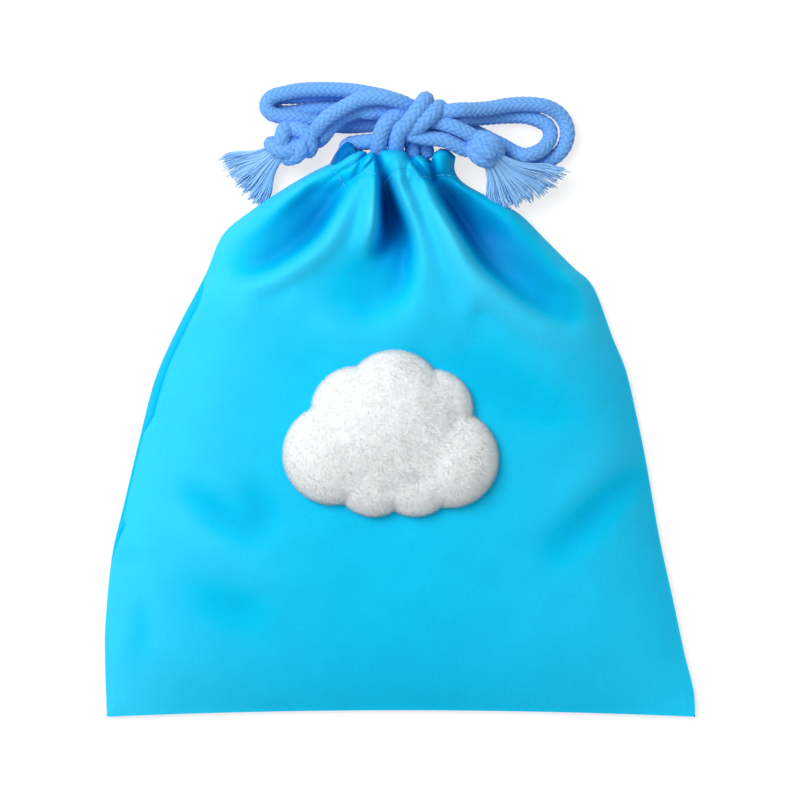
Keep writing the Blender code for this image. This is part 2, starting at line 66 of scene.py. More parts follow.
# Millimetres: each strand's route. It starts where the strand leaves the channel, goes through the bow's
# knot, round the loop on the other side, and back through the knot to its tail.
ROUTES = {
    "left_cord_outer": [
        (-16.8, 90.0, 5.0), (-18.4, 92.6, 3.6), (-18.5, 95.3, 2.8), (-17.4, 97.2, 2.7), (-15.2, 97.8, 2.8),
        (-12.2, 98.3, 3.2), (-8.1, 98.6, 4.0), (-2.0, 100.4, 6.2), (5.0, 104.0, 10.0), (13.0, 107.6, 14.2),
        (19.6, 108.8, 15.0), (24.4, 109.0, 12.4), (30.2, 109.6, 9.4), (36.3, 110.8, 7.4),
        (42.4, 111.2, 6.4), (48.4, 110.7, 5.2), (52.6, 109.0, 3.6), (55.3, 106.3, 2.6), (56.6, 103.0, 2.6),
        (56.5, 99.5, 2.6), (54.9, 95.9, 2.6), (51.8, 93.1, 2.6), (47.8, 91.3, 2.6), (43.0, 90.8, 2.6),
        (37.0, 91.4, 2.6), (31.0, 93.0, 2.6), (25.6, 95.4, 2.6), (21.5, 97.6, 2.6), (17.8, 99.6, 2.8),
        (12.0, 103.0, 5.0), (7.0, 107.0, 9.8), (2.0, 110.8, 14.6), (-4.0, 112.6, 17.2), (-9.0, 112.8, 17.6),
        (-13.5, 112.2, 17.3), (-17.2, 110.6, 16.8), (-20.5, 108.7, 16.5), (-24.0, 106.5, 16.4),
        (-26.5, 104.4, 14.7), (-28.2, 102.4, 11.6), (-31.0, 100.0, 9.0)],
    "left_cord_inner": [
        (-16.6, 90.2, 8.0), (-18.3, 92.8, 7.8), (-18.5, 95.5, 7.9), (-17.4, 97.4, 8.1), (-15.2, 98.0, 8.3),
        (-12.2, 98.4, 8.8), (-9.8, 98.6, 9.4), (-4.0, 100.0, 9.8), (4.0, 103.0, 10.0), (13.0, 105.2, 10.6),
        (20.0, 105.8, 10.4), (24.4, 106.2, 7.4), (30.2, 106.8, 4.2), (36.3, 107.3, 2.6), (42.4, 107.2, 2.6),
        (46.6, 106.0, 2.6), (49.9, 104.0, 2.6), (50.9, 101.2, 3.0), (50.0, 98.2, 4.8), (47.0, 95.3, 6.8),
        (42.4, 93.8, 7.8), (38.8, 94.9, 6.4), (35.2, 97.1, 3.8), (31.8, 98.8, 2.6), (27.0, 101.2, 2.8),
        (22.5, 103.4, 3.8), (20.0, 104.4, 4.6), (14.0, 105.8, 6.6), (7.0, 107.2, 9.2), (-1.0, 108.2, 11.2),
        (-6.0, 108.4, 11.8), (-10.8, 108.2, 11.8), (-13.5, 108.8, 11.6), (-17.2, 107.8, 11.0),
        (-20.5, 106.0, 10.6), (-23.2, 103.4, 10.2), (-25.2, 101.0, 8.8), (-26.7, 99.4, 6.2),
        (-30.0, 97.5, 5.0)],
    "right_cord_outer": [
        (9.0, 92.5, 5.0), (8.8, 97.2, 5.6), (7.2, 103.0, 7.0), (3.5, 108.5, 8.8), (-3.0, 112.8, 10.0),
        (-10.4, 114.6, 10.4), (-16.0, 115.6, 9.0), (-22.0, 116.0, 8.2), (-28.1, 116.1, 7.9),
        (-33.9, 115.8, 7.8), (-39.2, 114.8, 7.7), (-42.8, 113.8, 7.7), (-44.8, 111.8, 7.7),
        (-44.9, 109.6, 7.7), (-43.2, 107.8, 7.7), (-39.8, 106.9, 7.6), (-34.6, 106.4, 7.2),
        (-29.0, 105.2, 5.6), (-23.5, 104.4, 2.8), (-18.0, 103.9, 2.7), (-11.2, 104.2, 3.0),
        (-5.0, 104.8, 4.4), (1.0, 105.4, 7.4), (7.0, 105.4, 11.2), (12.5, 104.8, 14.0), (17.6, 103.3, 15.0),
        (20.0, 102.3, 14.8), (23.6, 100.6, 14.0), (26.4, 98.6, 12.4)],
    "right_cord_inner": [
        (4.4, 92.2, 7.0), (4.0, 97.0, 7.4), (3.6, 102.2, 7.0), (1.6, 107.0, 6.2), (-3.0, 110.6, 5.0),
        (-10.8, 112.4, 4.2), (-16.5, 114.2, 2.8), (-22.0, 114.8, 2.6), (-28.1, 114.6, 2.6),
        (-33.9, 114.0, 2.6), (-39.1, 113.9, 2.6), (-42.2, 113.3, 2.6), (-43.6, 111.2, 2.6),
        (-42.2, 109.1, 2.6), (-39.1, 108.4, 2.6), (-35.0, 108.7, 2.6), (-31.0, 109.2, 2.6),
        (-25.5, 109.9, 2.6), (-20.0, 109.8, 2.6), (-15.5, 109.2, 2.7), (-9.0, 108.2, 4.4),
        (-3.0, 105.6, 8.4), (2.0, 101.4, 12.4), (7.5, 99.6, 14.1), (14.2, 98.8, 14.2), (17.0, 97.8, 13.8),
        (21.2, 95.9, 12.4), (24.5, 95.0, 11.0)],
}

# Millimetres: the strands that wrap the bow's knot
BOW_WRAPS = [
    [(9.2, 106.5, 5.0), (8.9, 110.8, 8.0), (8.7, 112.4, 12.5), (7.8, 111.3, 16.2), (5.9, 108.6, 17.8),
     (3.6, 105.6, 17.6), (1.4, 102.7, 15.0), (0.0, 100.9, 10.5), (0.6, 101.5, 6.0)],
    [(12.8, 104.5, 5.0), (13.6, 108.2, 8.0), (13.4, 109.7, 12.2), (12.2, 108.8, 16.0), (9.7, 106.4, 17.6),
     (6.9, 103.9, 17.0), (4.2, 101.8, 13.6), (2.8, 100.6, 8.5), (3.4, 102.0, 5.0)],
    [(2.5, 107.3, 11.0), (-0.6, 107.0, 14.4), (-3.8, 105.3, 16.0), (-5.9, 102.2, 15.8), (-7.0, 98.2, 13.4),
     (-7.2, 94.8, 9.0), (-6.8, 92.6, 5.0)],
    [(3.9, 104.6, 11.0), (2.0, 104.9, 13.8), (-0.1, 103.0, 15.2), (-1.0, 99.8, 14.6), (-1.4, 96.2, 11.4),
     (-1.4, 92.8, 6.0)],
]
WRAP_PLUMPNESS = 1.20

# Millimetres: the strands of the two end knots
LEFT_KNOT_STRANDS = [
    [(-36.8, 101.8, 4.5), (-38.2, 103.0, 8.6), (-39.4, 101.2, 10.8), (-39.8, 98.6, 10.8), (-38.2, 96.2, 8.0)],
    [(-38.0, 101.6, 7.0), (-36.2, 102.6, 9.2), (-33.0, 102.0, 10.2), (-30.9, 99.8, 10.2), (-30.3, 96.6, 8.8),
     (-31.8, 94.0, 5.5)],
    [(-43.4, 98.6, 4.5), (-43.2, 97.4, 7.6), (-41.4, 96.0, 9.8), (-38.6, 95.2, 10.6), (-36.0, 96.0, 10.0),
     (-35.4, 98.6, 8.0)],
    [(-39.0, 93.2, 5.0), (-37.4, 93.0, 7.8), (-34.8, 93.8, 9.8), (-33.2, 96.4, 10.8), (-34.4, 99.0, 10.0)],
]
RIGHT_KNOT_STRANDS = [
    [(24.0, 97.6, 9.0), (25.2, 98.8, 13.0), (28.2, 99.2, 14.8), (31.2, 97.6, 15.0), (32.6, 94.8, 12.4),
     (31.8, 92.8, 9.0)],
    [(24.0, 97.4, 10.5), (24.8, 95.0, 13.4), (26.8, 92.8, 14.4), (29.4, 91.8, 13.0), (31.4, 92.2, 9.5)],
    [(24.6, 98.0, 12.0), (26.6, 96.4, 15.2), (29.2, 94.6, 16.0), (31.4, 93.0, 14.0)],
]
END_KNOT_PLUMPNESS = 1.18

# The solid middles of the knots, under their strands: middle and half sizes in millimetres, turn in degrees
KNOT_CORES = {
    "bow_knot": ((4.0, 105.6, 9.6), (11.0, 6.8, 6.6), 12.0),
    "end_knot_left": ((-37.0, 97.6, 6.2), (6.6, 5.0, 4.6), 30.0),
    "end_knot_right": ((28.6, 95.6, 11.2), (5.6, 4.8, 4.2), -25.0),
}

# The tassels: root, directions of their two sides in degrees, lengths there, root and tip heights
TASSELS = {
    "tassel_left": ((-0.0414, 0.0952), (193.0, 248.0), (0.0168, 0.0170), 0.0062, 0.0020),
    "tassel_right": ((0.0306, 0.0930), (-16.0, -84.0), (0.0236, 0.0140), 0.0120, 0.0076),
}
TASSEL_ROOT_WIDTH = 0.0062

# The bag, bottom to top of each seam: x as a share of half its width, y as a share of its height
BAG_WIDTH = 0.2000
BAG_HEIGHT = 0.1922
LEFT_SEAM = [(-0.993, 0.0), (-0.999, 0.10), (-0.997, 0.169), (-0.975, 0.284), (-0.935, 0.374),
             (-0.881, 0.492), (-0.829, 0.595), (-0.755, 0.683), (-0.66, 0.778), (-0.60, 0.849),
             (-0.50, 0.893), (-0.383, 0.933), (-0.285, 0.962), (-0.21, 0.980), (-0.160, 0.996)]
RIGHT_SEAM = [(1.0, 0.0), (0.995, 0.045), (0.963, 0.113), (0.925, 0.206), (0.878, 0.318), (0.834, 0.448),
              (0.803, 0.527), (0.766, 0.609), (0.719, 0.670), (0.655, 0.757), (0.583, 0.794),
              (0.492, 0.841), (0.403, 0.886), (0.30, 0.915), (0.215, 0.940), (0.185, 0.962), (0.188, 0.986)]
BELLY_HEIGHT = 0.0215
MOUTH_HEIGHT = 0.0150
SEAM_HEIGHT = 0.0016
MOUTH_SEAM_HEIGHT = 0.0070
EDGE_ROLL = 0.0200
BOTTOM_ROLL = 0.0220
BACK_ROLL = 0.0022
HEM_ROLL = 0.0012
BOTTOM_BOW = 0.0022
LOBE_RISE = 0.0050
LOBE_REACH = 0.0260
BACK_LOBE_RISE = 0.0030
CHANNEL_HEIGHT = 0.0095
STITCH_GROOVE = 0.0009
STITCH_WIDTH = 0.0010
LEAST_THICKNESS = 0.0016

# The folds' painted light and shade: hollows are painted a deeper blue, as painted shade for the light that
# takes on the colour of two cloth walls, and crests are painted paler, as a painted highlight.
# Tones where each colour has its place, and the depth or height that changes the tone by 1.
LEVEL_TONE = 0.79
COLOUR_TONE = LEVEL_TONE - 0.02
SHADE_TONE = 0.58
HOLLOW_TONE = 0.30
HOLLOW_REACH = 0.0180
CREST_REACH = 0.0400
# Painted sheen: the cloth is painted paler towards the seams, more on the left, towards the key lamp.
SIDE_PAINTED_SHEEN = 0.15
PAINTED_SHEEN_LEFT = 0.70
# Painted shade: the back panel is painted a little darker than level cloth, and its last lobe at the left a
# deep blue.
BACK_PAINTED_SHADE = 0.74
BACK_LOBE_PAINTED_SHADE = 0.12

# The gathered lobes across the mouth: middle and half width, as shares of the mouth's width
GATHER_LOBES = [(0.06, 0.11), (0.22, 0.075), (0.43, 0.175), (0.68, 0.105), (0.90, 0.125)]

# Millimetres: the gathered top edge from left to right
TOP_EDGE = [(-16.0, 95.3), (-13.6, 95.6), (-11.5, 95.1), (-10.8, 94.0), (-9.8, 95.2), (-8.1, 95.3),
            (-7.5, 94.3), (-6.1, 95.8), (-3.4, 96.3), (0.0, 96.1), (2.0, 95.3), (3.4, 93.5), (4.7, 93.9),
            (6.8, 94.2), (9.2, 93.2), (10.5, 92.2), (11.5, 94.9), (13.6, 96.4), (16.3, 96.1), (18.8, 93.6)]

# Millimetres: how far the back panel's gathers stand out past the front's, by x
BACK_STANDING = [(-11.0, 0.0), (-9.0, 0.6), (-7.0, 0.0), (2.0, 0.0), (5.5, 0.4), (8.0, 0.2), (11.0, 0.0)]

# Millimetres: the back panel's last lobe at the left, by its free edge and the line where the front covers it
BACK_LOBE_EDGE = [(-24.4, 89.6, 5.5), (-23.3, 91.8, 7.6), (-21.6, 94.8, 9.4), (-19.6, 97.0, 10.6),
                  (-17.8, 98.3, 11.2), (-16.2, 97.9, 10.8)]
BACK_LOBE_ROOT = [(-23.6, 88.4), (-21.8, 89.6), (-19.6, 91.4), (-17.8, 92.8), (-16.2, 93.8), (-14.8, 94.0)]

# Millimetres: the channel's stitches, lobe by lobe; between the lobes they run into the slits
STITCH_LINES = [
    [(-24.0, 90.2), (-22.6, 88.9), (-20.8, 86.6), (-19.4, 84.6), (-18.2, 82.8)],
    [(-14.6, 86.4), (-11.5, 87.7), (-8.2, 87.2), (-7.0, 86.0)],
    [(-5.4, 84.4), (-3.4, 86.2), (-0.8, 87.9), (2.0, 88.1), (4.8, 87.0), (7.0, 84.5)],
    [(7.8, 86.0), (9.4, 86.4), (10.8, 85.6)],
    [(12.4, 86.8), (14.6, 87.0), (16.8, 86.8), (19.2, 86.4)],
]

# The strip of the back panel that shows past the left seam: height as a share, width in millimetres
BACK_STRIP = [(0.0, 0.0), (0.236, 0), (0.257, 0.8), (0.279, 1.7), (0.295, 2.3), (0.304, 1.0), (0.332, 0.7),
              (0.379, 0.8), (0.426, 0.8), (0.439, 1.0), (0.451, 2.2), (0.467, 3.2), (0.505, 3.2),
              (0.554, 3.1), (0.604, 3.2), (0.645, 3.2), (0.665, 2.4), (0.683, 1.0), (0.693, 0), (1.0, 0.0)]

# The folds: how far apart their places are taken, how soft their lines are, and how far from them the cloth
# is level again. Then, in millimetres, x, y and height along each line of a fold (a hollow is negative).
FOLD_SPACING = 2.2 * MM
FOLD_SOFTNESS = 1.7 * MM
FOLD_EVENING = 0.00025
LEVEL_SPACING = 9 * MM
LEVEL_DISTANCE = 13 * MM
FOLDS = {
    "left_crest": [(-10.8, 88.5, 1.2), (-13.6, 84.0, 2.2), (-18.1, 77.5, 3.2), (-22.3, 70.5, 3.6),
                   (-26.3, 64.5, 3.6), (-33.2, 58.6, 3.2), (-41.2, 53.6, 2.8), (-49.1, 50.6, 2.2),
                   (-56.5, 50.8, 1.4), (-62.0, 53.4, 0.6)],
    "left_foot": [(-16.8, 86.0, -1.6), (-21.0, 79.7, -5.2), (-25.3, 72.7, -8.2), (-29.4, 67.0, -7.2),
                  (-35.5, 61.8, -5.4), (-42.6, 57.0, -4.0), (-49.6, 54.4, -2.6), (-55.4, 54.8, -1.6)],
    "left_floor": [(-20.8, 86.2, -2.0), (-25.2, 80.8, -6.4), (-29.4, 75.0, -9.6), (-33.8, 70.2, -8.2),
                   (-39.0, 65.8, -6.2), (-45.4, 61.4, -4.6), (-51.8, 59.0, -2.8)],
    "left_far": [(-29.6, 81.6, -6.0), (-35.0, 76.8, -6.4), (-40.4, 72.0, -5.0), (-46.4, 67.2, -3.4),
                 (-52.8, 63.0, -1.8)],
    "left_shoulder": [(-26.0, 88.6, 0.0), (-31.5, 84.6, 0.6), (-38.0, 80.4, 1.0), (-45.5, 75.2, 1.2),
                      (-53.0, 69.0, 1.0), (-59.5, 61.5, 0.6)],
    "left_band": [(-9.6, 86.0, 2.0), (-11.8, 78.0, 3.8), (-14.2, 70.0, 3.0), (-19.0, 62.6, 2.2),
                  (-28.2, 54.6, 1.8), (-37.0, 48.8, 1.2), (-46.0, 45.0, 0.8)],
    "slit_left_rim": [(-7.7, 88.0, 0.8), (-7.4, 82.0, 2.4), (-7.3, 76.0, 3.4), (-7.4, 70.0, 3.0),
                      (-8.4, 65.4, 1.8), (-10.2, 61.4, 0.6), (-12.6, 57.8, -0.8)],
    "slit_left_foot": [(-6.2, 84.0, -7.0), (-5.9, 78.0, -11.0), (-5.6, 72.0, -12.0), (-5.8, 67.0, -9.0),
                       (-7.0, 62.5, -5.8)],
    "slit_floor": [(-5.4, 86.0, -8.0), (-4.4, 81.0, -12.5), (-3.5, 76.0, -14.5), (-2.7, 71.0, -14.0),
                   (-2.0, 66.5, -11.0), (-2.2, 61.5, -6.6), (-3.6, 55.5, -3.6), (-6.4, 49.5, -2.4),
                   (-9.4, 44.0, -1.6), (-11.0, 39.5, -0.2)],
    "slit_right_foot": [(-3.8, 85.0, -6.5), (-2.4, 79.5, -10.5), (-0.6, 74.0, -12.0), (1.3, 69.0, -9.5),
                        (2.6, 64.0, -6.4), (2.8, 58.0, -4.2), (2.2, 52.0, -2.6), (0.2, 46.0, -1.2)],
    "slit_right_rim": [(-2.9, 86.0, 1.2), (-0.9, 80.5, 2.2), (1.2, 75.5, 2.8), (3.3, 70.5, 2.8),
                       (4.9, 65.0, 2.8), (5.8, 58.5, 2.6), (5.6, 51.5, 2.4), (4.2, 45.0, 2.4),
                       (1.4, 39.4, 2.4), (-3.0, 35.2, 2.3), (-8.6, 32.9, 2.2), (-15.2, 33.6, 2.1),
                       (-22.0, 36.6, 2.0), (-29.0, 41.4, 1.4), (-35.5, 45.6, 1.2)],
    "bowl": [(-13.2, 54.4, -1.8), (-16.6, 49.4, -1.4), (-20.4, 44.6, -0.6)],
    "band_top": [(3.2, 84.4, 2.6), (5.0, 80.0, 3.8), (7.4, 75.0, 4.0), (10.4, 68.6, 4.0), (13.4, 61.4, 3.8),
                 (16.4, 53.0, 3.2), (19.4, 44.0, 2.4), (22.4, 35.0, 1.2)],
    "right_skirt": [(27.0, 40.0, 1.2), (35.0, 34.0, 1.0), (44.0, 28.5, 0.9), (53.0, 24.5, 0.8),
                    (62.0, 22.5, 0.6)],
    "right_ridge": [(9.2, 84.6, 1.8), (12.0, 78.4, 3.2), (15.5, 72.5, 4.5), (20.0, 65.1, 4.5),
                    (25.4, 56.6, 4.0), (32.4, 49.6, 3.4), (40.3, 43.1, 3.0), (49.3, 37.3, 2.8),
                    (58.8, 33.4, 2.4), (64.8, 36.0, 1.8), (69.0, 42.0, 1.0)],
    "right_foot": [(12.4, 83.4, -6.5), (14.8, 79.4, -10.5), (18.2, 73.9, -12.5), (22.6, 66.6, -11.5),
                   (28.0, 58.4, -8.4), (34.5, 51.9, -5.8), (42.0, 45.9, -4.0), (50.4, 40.6, -2.6),
                   (58.0, 38.0, -1.4)],
    "right_floor": [(15.8, 83.6, -7.5), (18.4, 79.4, -12.0), (21.8, 74.0, -14.0), (26.2, 67.4, -13.0),
                    (31.6, 60.5, -9.8), (38.0, 54.6, -7.2), (45.2, 49.2, -5.2), (52.6, 45.0, -3.4),
                    (59.0, 43.4, -1.8)],
    "right_far": [(21.6, 81.0, -5.0), (26.4, 75.2, -7.6), (31.8, 69.0, -9.0), (38.2, 62.4, -7.2),
                  (45.0, 56.8, -5.6), (52.0, 51.6, -3.8), (58.6, 48.0, -2.0)],
    "right_shoulder": [(23.0, 84.0, -0.8), (30.4, 77.6, -1.6), (37.6, 71.4, -1.6), (44.8, 65.4, -1.0),
                       (52.2, 58.8, 0.2), (59.4, 51.4, 0.8), (65.5, 43.0, 0.8)],
}

# Millimetres: the slits between the gathered lobes and the soft wrinkles lower down, as x, y, half width and
# height in their middle
WRINKLES = {
    "left_slit": [(-10.8, 94.8, 0.9, -4.0), (-13.2, 91.0, 1.0, -3.0), (-14.8, 87.0, 1.2, -2.4),
                  (-16.4, 83.8, 1.5, -1.2)],
    "centre_slit": [(-7.8, 95.0, 1.0, -6.0), (-6.7, 90.0, 1.2, -7.0), (-5.6, 86.0, 1.4, -2.0)],
    "right_slit": [(2.9, 94.4, 0.9, -5.0), (5.4, 90.4, 1.1, -6.5), (8.8, 86.4, 1.2, -5.0),
                   (11.2, 83.4, 1.2, -2.0)],
    "small_lobe_slit": [(10.5, 92.8, 0.9, -5.0), (11.2, 88.4, 1.2, -6.0), (12.0, 84.4, 1.4, -4.0)],
    "folded_over_lobe": [(7.4, 95.4, 0.7, -3.0), (9.6, 92.0, 0.8, -5.0), (10.8, 91.4, 0.7, -3.0)],
    "left_wrinkle": [(-74.0, -18.0, 5.0, -1.0), (-66.0, -25.0, 6.0, -2.6), (-56.0, -32.0, 6.4, -2.4),
                     (-46.0, -37.0, 6.4, -1.0)],
    "left_wrinkle_crest": [(-78.0, -26.0, 7.0, 0.6), (-66.0, -36.0, 7.6, 1.2), (-52.0, -44.0, 8.0, 1.1),
                           (-42.0, -48.0, 8.0, 0.6)],
    "left_dimple": [(-51.0, -19.0, 5.0, -1.2), (-47.0, -25.0, 5.5, -2.0), (-43.0, -32.0, 5.0, -1.2)],
    "bottom_left_dip": [(-72.0, -53.0, 8.0, -1.2), (-60.0, -58.0, 9.0, -2.0), (-46.0, -62.0, 8.0, -1.2)],
    "left_edge_dip": [(-88.0, -58.0, 4.0, -1.2), (-88.0, -68.0, 4.0, -1.6), (-90.0, -78.0, 4.0, -1.2)],
    "right_wrinkle": [(81.0, -12.0, 5.0, -1.4), (72.0, -20.0, 6.0, -2.8), (62.0, -31.0, 6.4, -2.8),
                      (51.0, -42.0, 6.4, -1.2)],
    "right_wrinkle_crest": [(80.0, -2.0, 7.0, 0.6), (72.0, -9.0, 8.0, 1.4), (62.0, -17.0, 8.4, 1.2),
                            (52.0, -23.0, 8.0, 0.6)],
    "right_soft_dip": [(18.0, 26.0, 7.0, -0.8), (30.0, 18.0, 8.0, -1.2), (44.0, 10.0, 8.0, -1.4),
                       (60.0, 6.0, 7.0, -0.8)],
}

# The cloud: its puffs' middles and radii, from its centre
CLOUD_CENTRE = (-0.0029, -0.0010)
CLOUD_RIM_HEIGHT = 0.0016
CLOUD_PUFF = 0.50
CLOUD_PUFFS = [((0.0005, 0.0035), 0.0225), ((-0.0195, -0.0060), 0.0165), ((0.0195, -0.0075), 0.0160),
               ((-0.0120, 0.0085), 0.0145), ((0.0140, 0.0090), 0.0130), ((-0.0060, -0.0135), 0.0130),
               ((0.0080, -0.0140), 0.0125), ((0.0010, 0.0120), 0.0165)]

# The stage
KEY_PLACE = (-0.95, 0.75, 1.60)
KEY_SIZE = 1.1
FLOOR_DROP = 0.3 * MM

# How finely things are meshed: grids as columns and rows
CURVE_STEPS = 24
SEAM_SAMPLES = 240
WRINKLE_SAMPLES = 90
GROOVE_SAMPLES = 60
STITCH_SAMPLES = 300
ROUTE_SAMPLES = 400
RING_SPACING = 0.3 * MM
SPOKES_PER_CARRIER = 6
CORE_GRID = (32, 17)
FRONT_GRID = (300, 290)
BACK_GRID = (180, 200)
STRIP_COLUMNS = 10
BACK_LOBE_GRID = (26, 60)
CLOUD_GRID = (220, 60)
FRONT_CROWDING = 0.35
BACK_CROWDING = 0.6
ROW_CROWDING = 1.35
POINTS_AT_ONCE = 4000

# Seeds of the random draws
SEEDS = {"broad": 3, "fine": 5, "gathers": 11, "puckers": 17, "back": 23, "cloud": 31, "pile": 41,
         "lean": (43, 47), "tassel_left": 7, "tassel_right": 9}

# Soft unevenness: waves added up, the spread of their lengths, and the end of their starting angles
NOISE_WAVES = 9
NOISE_SPREAD = (0.7, 1.6)
NOISE_TURN = 6.3

# The braid: how high its yarns lie, the lift where one goes over another, the least width of a closed end
YARN_LEVEL = 0.6
YARN_LIFT = 0.4
END_LEAST = 0.01
# The knots' middles are painted in the braid's dark shade colour, as painted shade.
CORE_PAINTED_SHADE = 0.25

# The tassels' yarns
YARN_RINGS = 12
YARN_SPOKES = 6
YARN_RADII = (0.19, 0.29)
YARN_TAPER = 0.35
YARN_TONES = (0.35, 1.0)
YARN_MIXING = 0.9
YARN_SWERVE = 1.6
TUFTS = 7
TUFT_DEPTH = 0.8
TIP_UNEVENNESS = 0.7 * MM
FLARE_POWER = 1.15
FLARE_START = 0.35
DROOP_SPEED = 1.2
WAVE_SIZES = (0.15, 0.55)
WAVE_SPEEDS = (3, 8)
WAVE_TURN = 6
BUNDLE_THICKNESS = 2.0 * MM
TIP_THINNING = 0.45
LAYER_SHARE = 0.8
LAYER_SWAY = 0.2
SWAY_SPEED = 9
LOWEST_YARN = 0.45 * MM

# The cloth
LOBE_POWER = 0.7
BOW_SHARE = 0.25
TOP_SHARE = 1.3
GATHER_SPREAD = 2.2
MOUTH_TIGHTNESS = 0.35
WRINKLE_MARGIN = 3.2
BROAD_SIZE, FINE_SIZE, FINE_SHARE = 48 * MM, 17 * MM, 0.30
GATHER_SIZE, GATHER_STRETCH, GATHER_BAND, GATHER_HEIGHT = 3.4 * MM, 0.25, 7 * MM, 0.35 * MM
PUCKER_SIZE, PUCKER_BAND, PUCKER_HEIGHT = 7 * MM, 7 * MM, 0.22 * MM
STEP_HEIGHT, STEP_ROLL, STEP_FADE = 2.0 * MM, 1.4 * MM, 12 * MM
STEP_GROOVE, STEP_GROOVE_WIDTH = 0.8 * MM, 0.7 * MM
CLOSED_HEM = 0.9
EDGE_SLOPE = 0.5
CLAMP_SOFTNESS = 0.6 * MM
STRIP_TUCK, STRIP_UNDER, STRIP_BULGE = 0.5 * MM, 0.45 * MM, 0.45 * MM
BACK_WRINKLE, BACK_WRINKLE_SIZE, BACK_CALM = 0.25 * MM, 30 * MM, 12
LAST_ROW = 0.999
LEAST_GAP = 0.4 * MM
BACK_LOBE_TUCK, BACK_LOBE_PUFF = 0.8 * MM, 1.5 * MM

# The stitches
STITCH_LENGTH, STITCH_GAP, STITCH_RINGS = 1.9 * MM, 0.7 * MM, 7
STITCH_SEAT, STITCH_ARCH, STITCH_SINK = 0.02 * MM, 0.24, 0.10
THREAD_RADIUS, THREAD_SPOKES, THREAD_TWIST = 0.17 * MM, 8, 0.4 * MM
THREAD_END = 0.45

# The cloud's skin and pile
CLOUD_SEARCH, CLOUD_SEARCH_STEPS = 0.05, 1200
PUFF_BLEND = 6
CLOUD_MIDDLE = 0.002
CLOUD_TUCK = 0.2 * MM
CLOUD_UNEVEN, CLOUD_UNEVEN_SIZE = 0.10 * MM, 6 * MM
FIBRE_LENGTHS = (0.6, 1.15)
FIBRE_SCATTER, FIBRE_LEAN, LEAN_SIZE = 0.20, 0.04, 5 * MM
FIBRE_THICKNESS = 0.065 * MM
FIBRE_CORNERS = (0.0, 2.094, 4.189)


class PouchClothSettings(bpy.types.PropertyGroup):
    """The pouch's cloth."""

    colour: bpy.props.StringProperty(name="Cloth colour", description="sRGB hex colour", default="#02C6F5")
    # Painted shade colour, on the shallow hollows of the folds.
    shade: bpy.props.StringProperty(name="Cloth shade", description="Colour between the threads",
                                    default="#00A8E2")
    thread_spacing: bpy.props.FloatProperty(
        name="Thread spacing", description="Distance between the threads of the weave",
        default=0.5 * MM, unit="LENGTH")
    flat_width: bpy.props.FloatProperty(name="Panel width", description="Width of one panel as it is cut",
                                        default=0.200, unit="LENGTH")
    flat_height: bpy.props.FloatProperty(name="Panel height", description="Height of one panel, hemmed",
                                         default=0.205, unit="LENGTH")
    # Painted light and shade of the folds: a painted highlight on their crests, painted shade in their hollows
    # and deeper painted shade inside them.
    crest: bpy.props.StringProperty(name="Crest colour", description="Cloth on top of a fold",
                                    default="#3CD4FE")
    hollow: bpy.props.StringProperty(name="Hollow colour", description="Cloth in a fold's hollow",
                                     default="#008CCE")
    deep: bpy.props.StringProperty(name="Deep colour", description="Cloth deep inside a fold",
                                   default="#0064B2")
    undulation: bpy.props.FloatProperty(
        name="Undulation", description="Height of the cloth's soft unevenness", default=0.55 * MM,
        unit="LENGTH")


class PouchCordSettings(bpy.types.PropertyGroup):
    """The drawcords, their knots and tassels."""

    colour: bpy.props.StringProperty(name="Cord colour", description="sRGB hex colour", default="#70B0F6")
    # Painted shade, deep between the yarns.
    shade: bpy.props.StringProperty(name="Cord shade", description="Colour deep between the yarns",
                                    default="#3A84DA")
    # Painted light: the tassels' yarns are painted paler than the cord, each yarn at its own random share of
    # this colour.
    tassel: bpy.props.StringProperty(name="Tassel colour", description="The tassels' palest yarns",
                                     default="#A4D8FF")
    diameter: bpy.props.FloatProperty(name="Cord diameter", description="Over the braid's crowns",
                                      default=CORD_DIAMETER, unit="LENGTH")
    pitch: bpy.props.FloatProperty(name="Braid pitch", description="Length of one whole turn of a yarn",
                                   default=17.0 * MM, unit="LENGTH")
    carriers: bpy.props.IntProperty(name="Yarns each way", description="Yarns that run round each way",
                                    default=8)
    relief: bpy.props.FloatProperty(name="Braid relief", description="Depth of the gaps between yarns",
                                    default=0.4 * MM, unit="LENGTH")
    tassel_yarns: bpy.props.IntProperty(name="Tassel yarns", description="Loose yarns in each tassel",
                                        default=230)


class PouchPlushSettings(bpy.types.PropertyGroup):
    """The plush cloud."""

    colour: bpy.props.StringProperty(name="Plush colour", description="sRGB hex colour", default="#F4F7F7")
    pile_length: bpy.props.FloatProperty(name="Pile length", description="Length of the plush's fibres",
                                         default=0.9 * MM, unit="LENGTH")
    fibres: bpy.props.IntProperty(name="Fibres", description="Number of fibres", default=40000)


class PouchStageSettings(bpy.types.PropertyGroup):
    """The floor and the lights."""

    floor_size: bpy.props.FloatProperty(name="Floor size", description="Side of the floor", default=6.0,
                                        unit="LENGTH")
    key_power: bpy.props.FloatProperty(name="Key light", description="Power of the soft lamp",
                                       default=31.0, unit="POWER")
    sky_strength: bpy.props.FloatProperty(name="Sky light", description="Strength of the white surroundings",
                                          default=0.46)


def linear(colour):
    """An sRGB hex colour as linear red, green, blue and alpha."""
    shares = [int(colour[i:i + 2], 16) / 255 for i in (1, 3, 5)]
    return [s / 12.92 if s <= 0.04045 else ((s + 0.055) / 1.055) ** 2.4 for s in shares] + [1.0]


def add_node(tree, kind, settings=None, links=None):
    """A node with values for its settings and inputs, and links from other sockets to its inputs."""
    node = tree.nodes.new(kind)
    for name, value in (settings or {}).items():
        if name in node.inputs:
            node.inputs[name].default_value = value
        else:
            setattr(node, name, value)
    for name, socket in (links or {}).items():
        tree.links.new(socket, node.inputs[name])
    return node


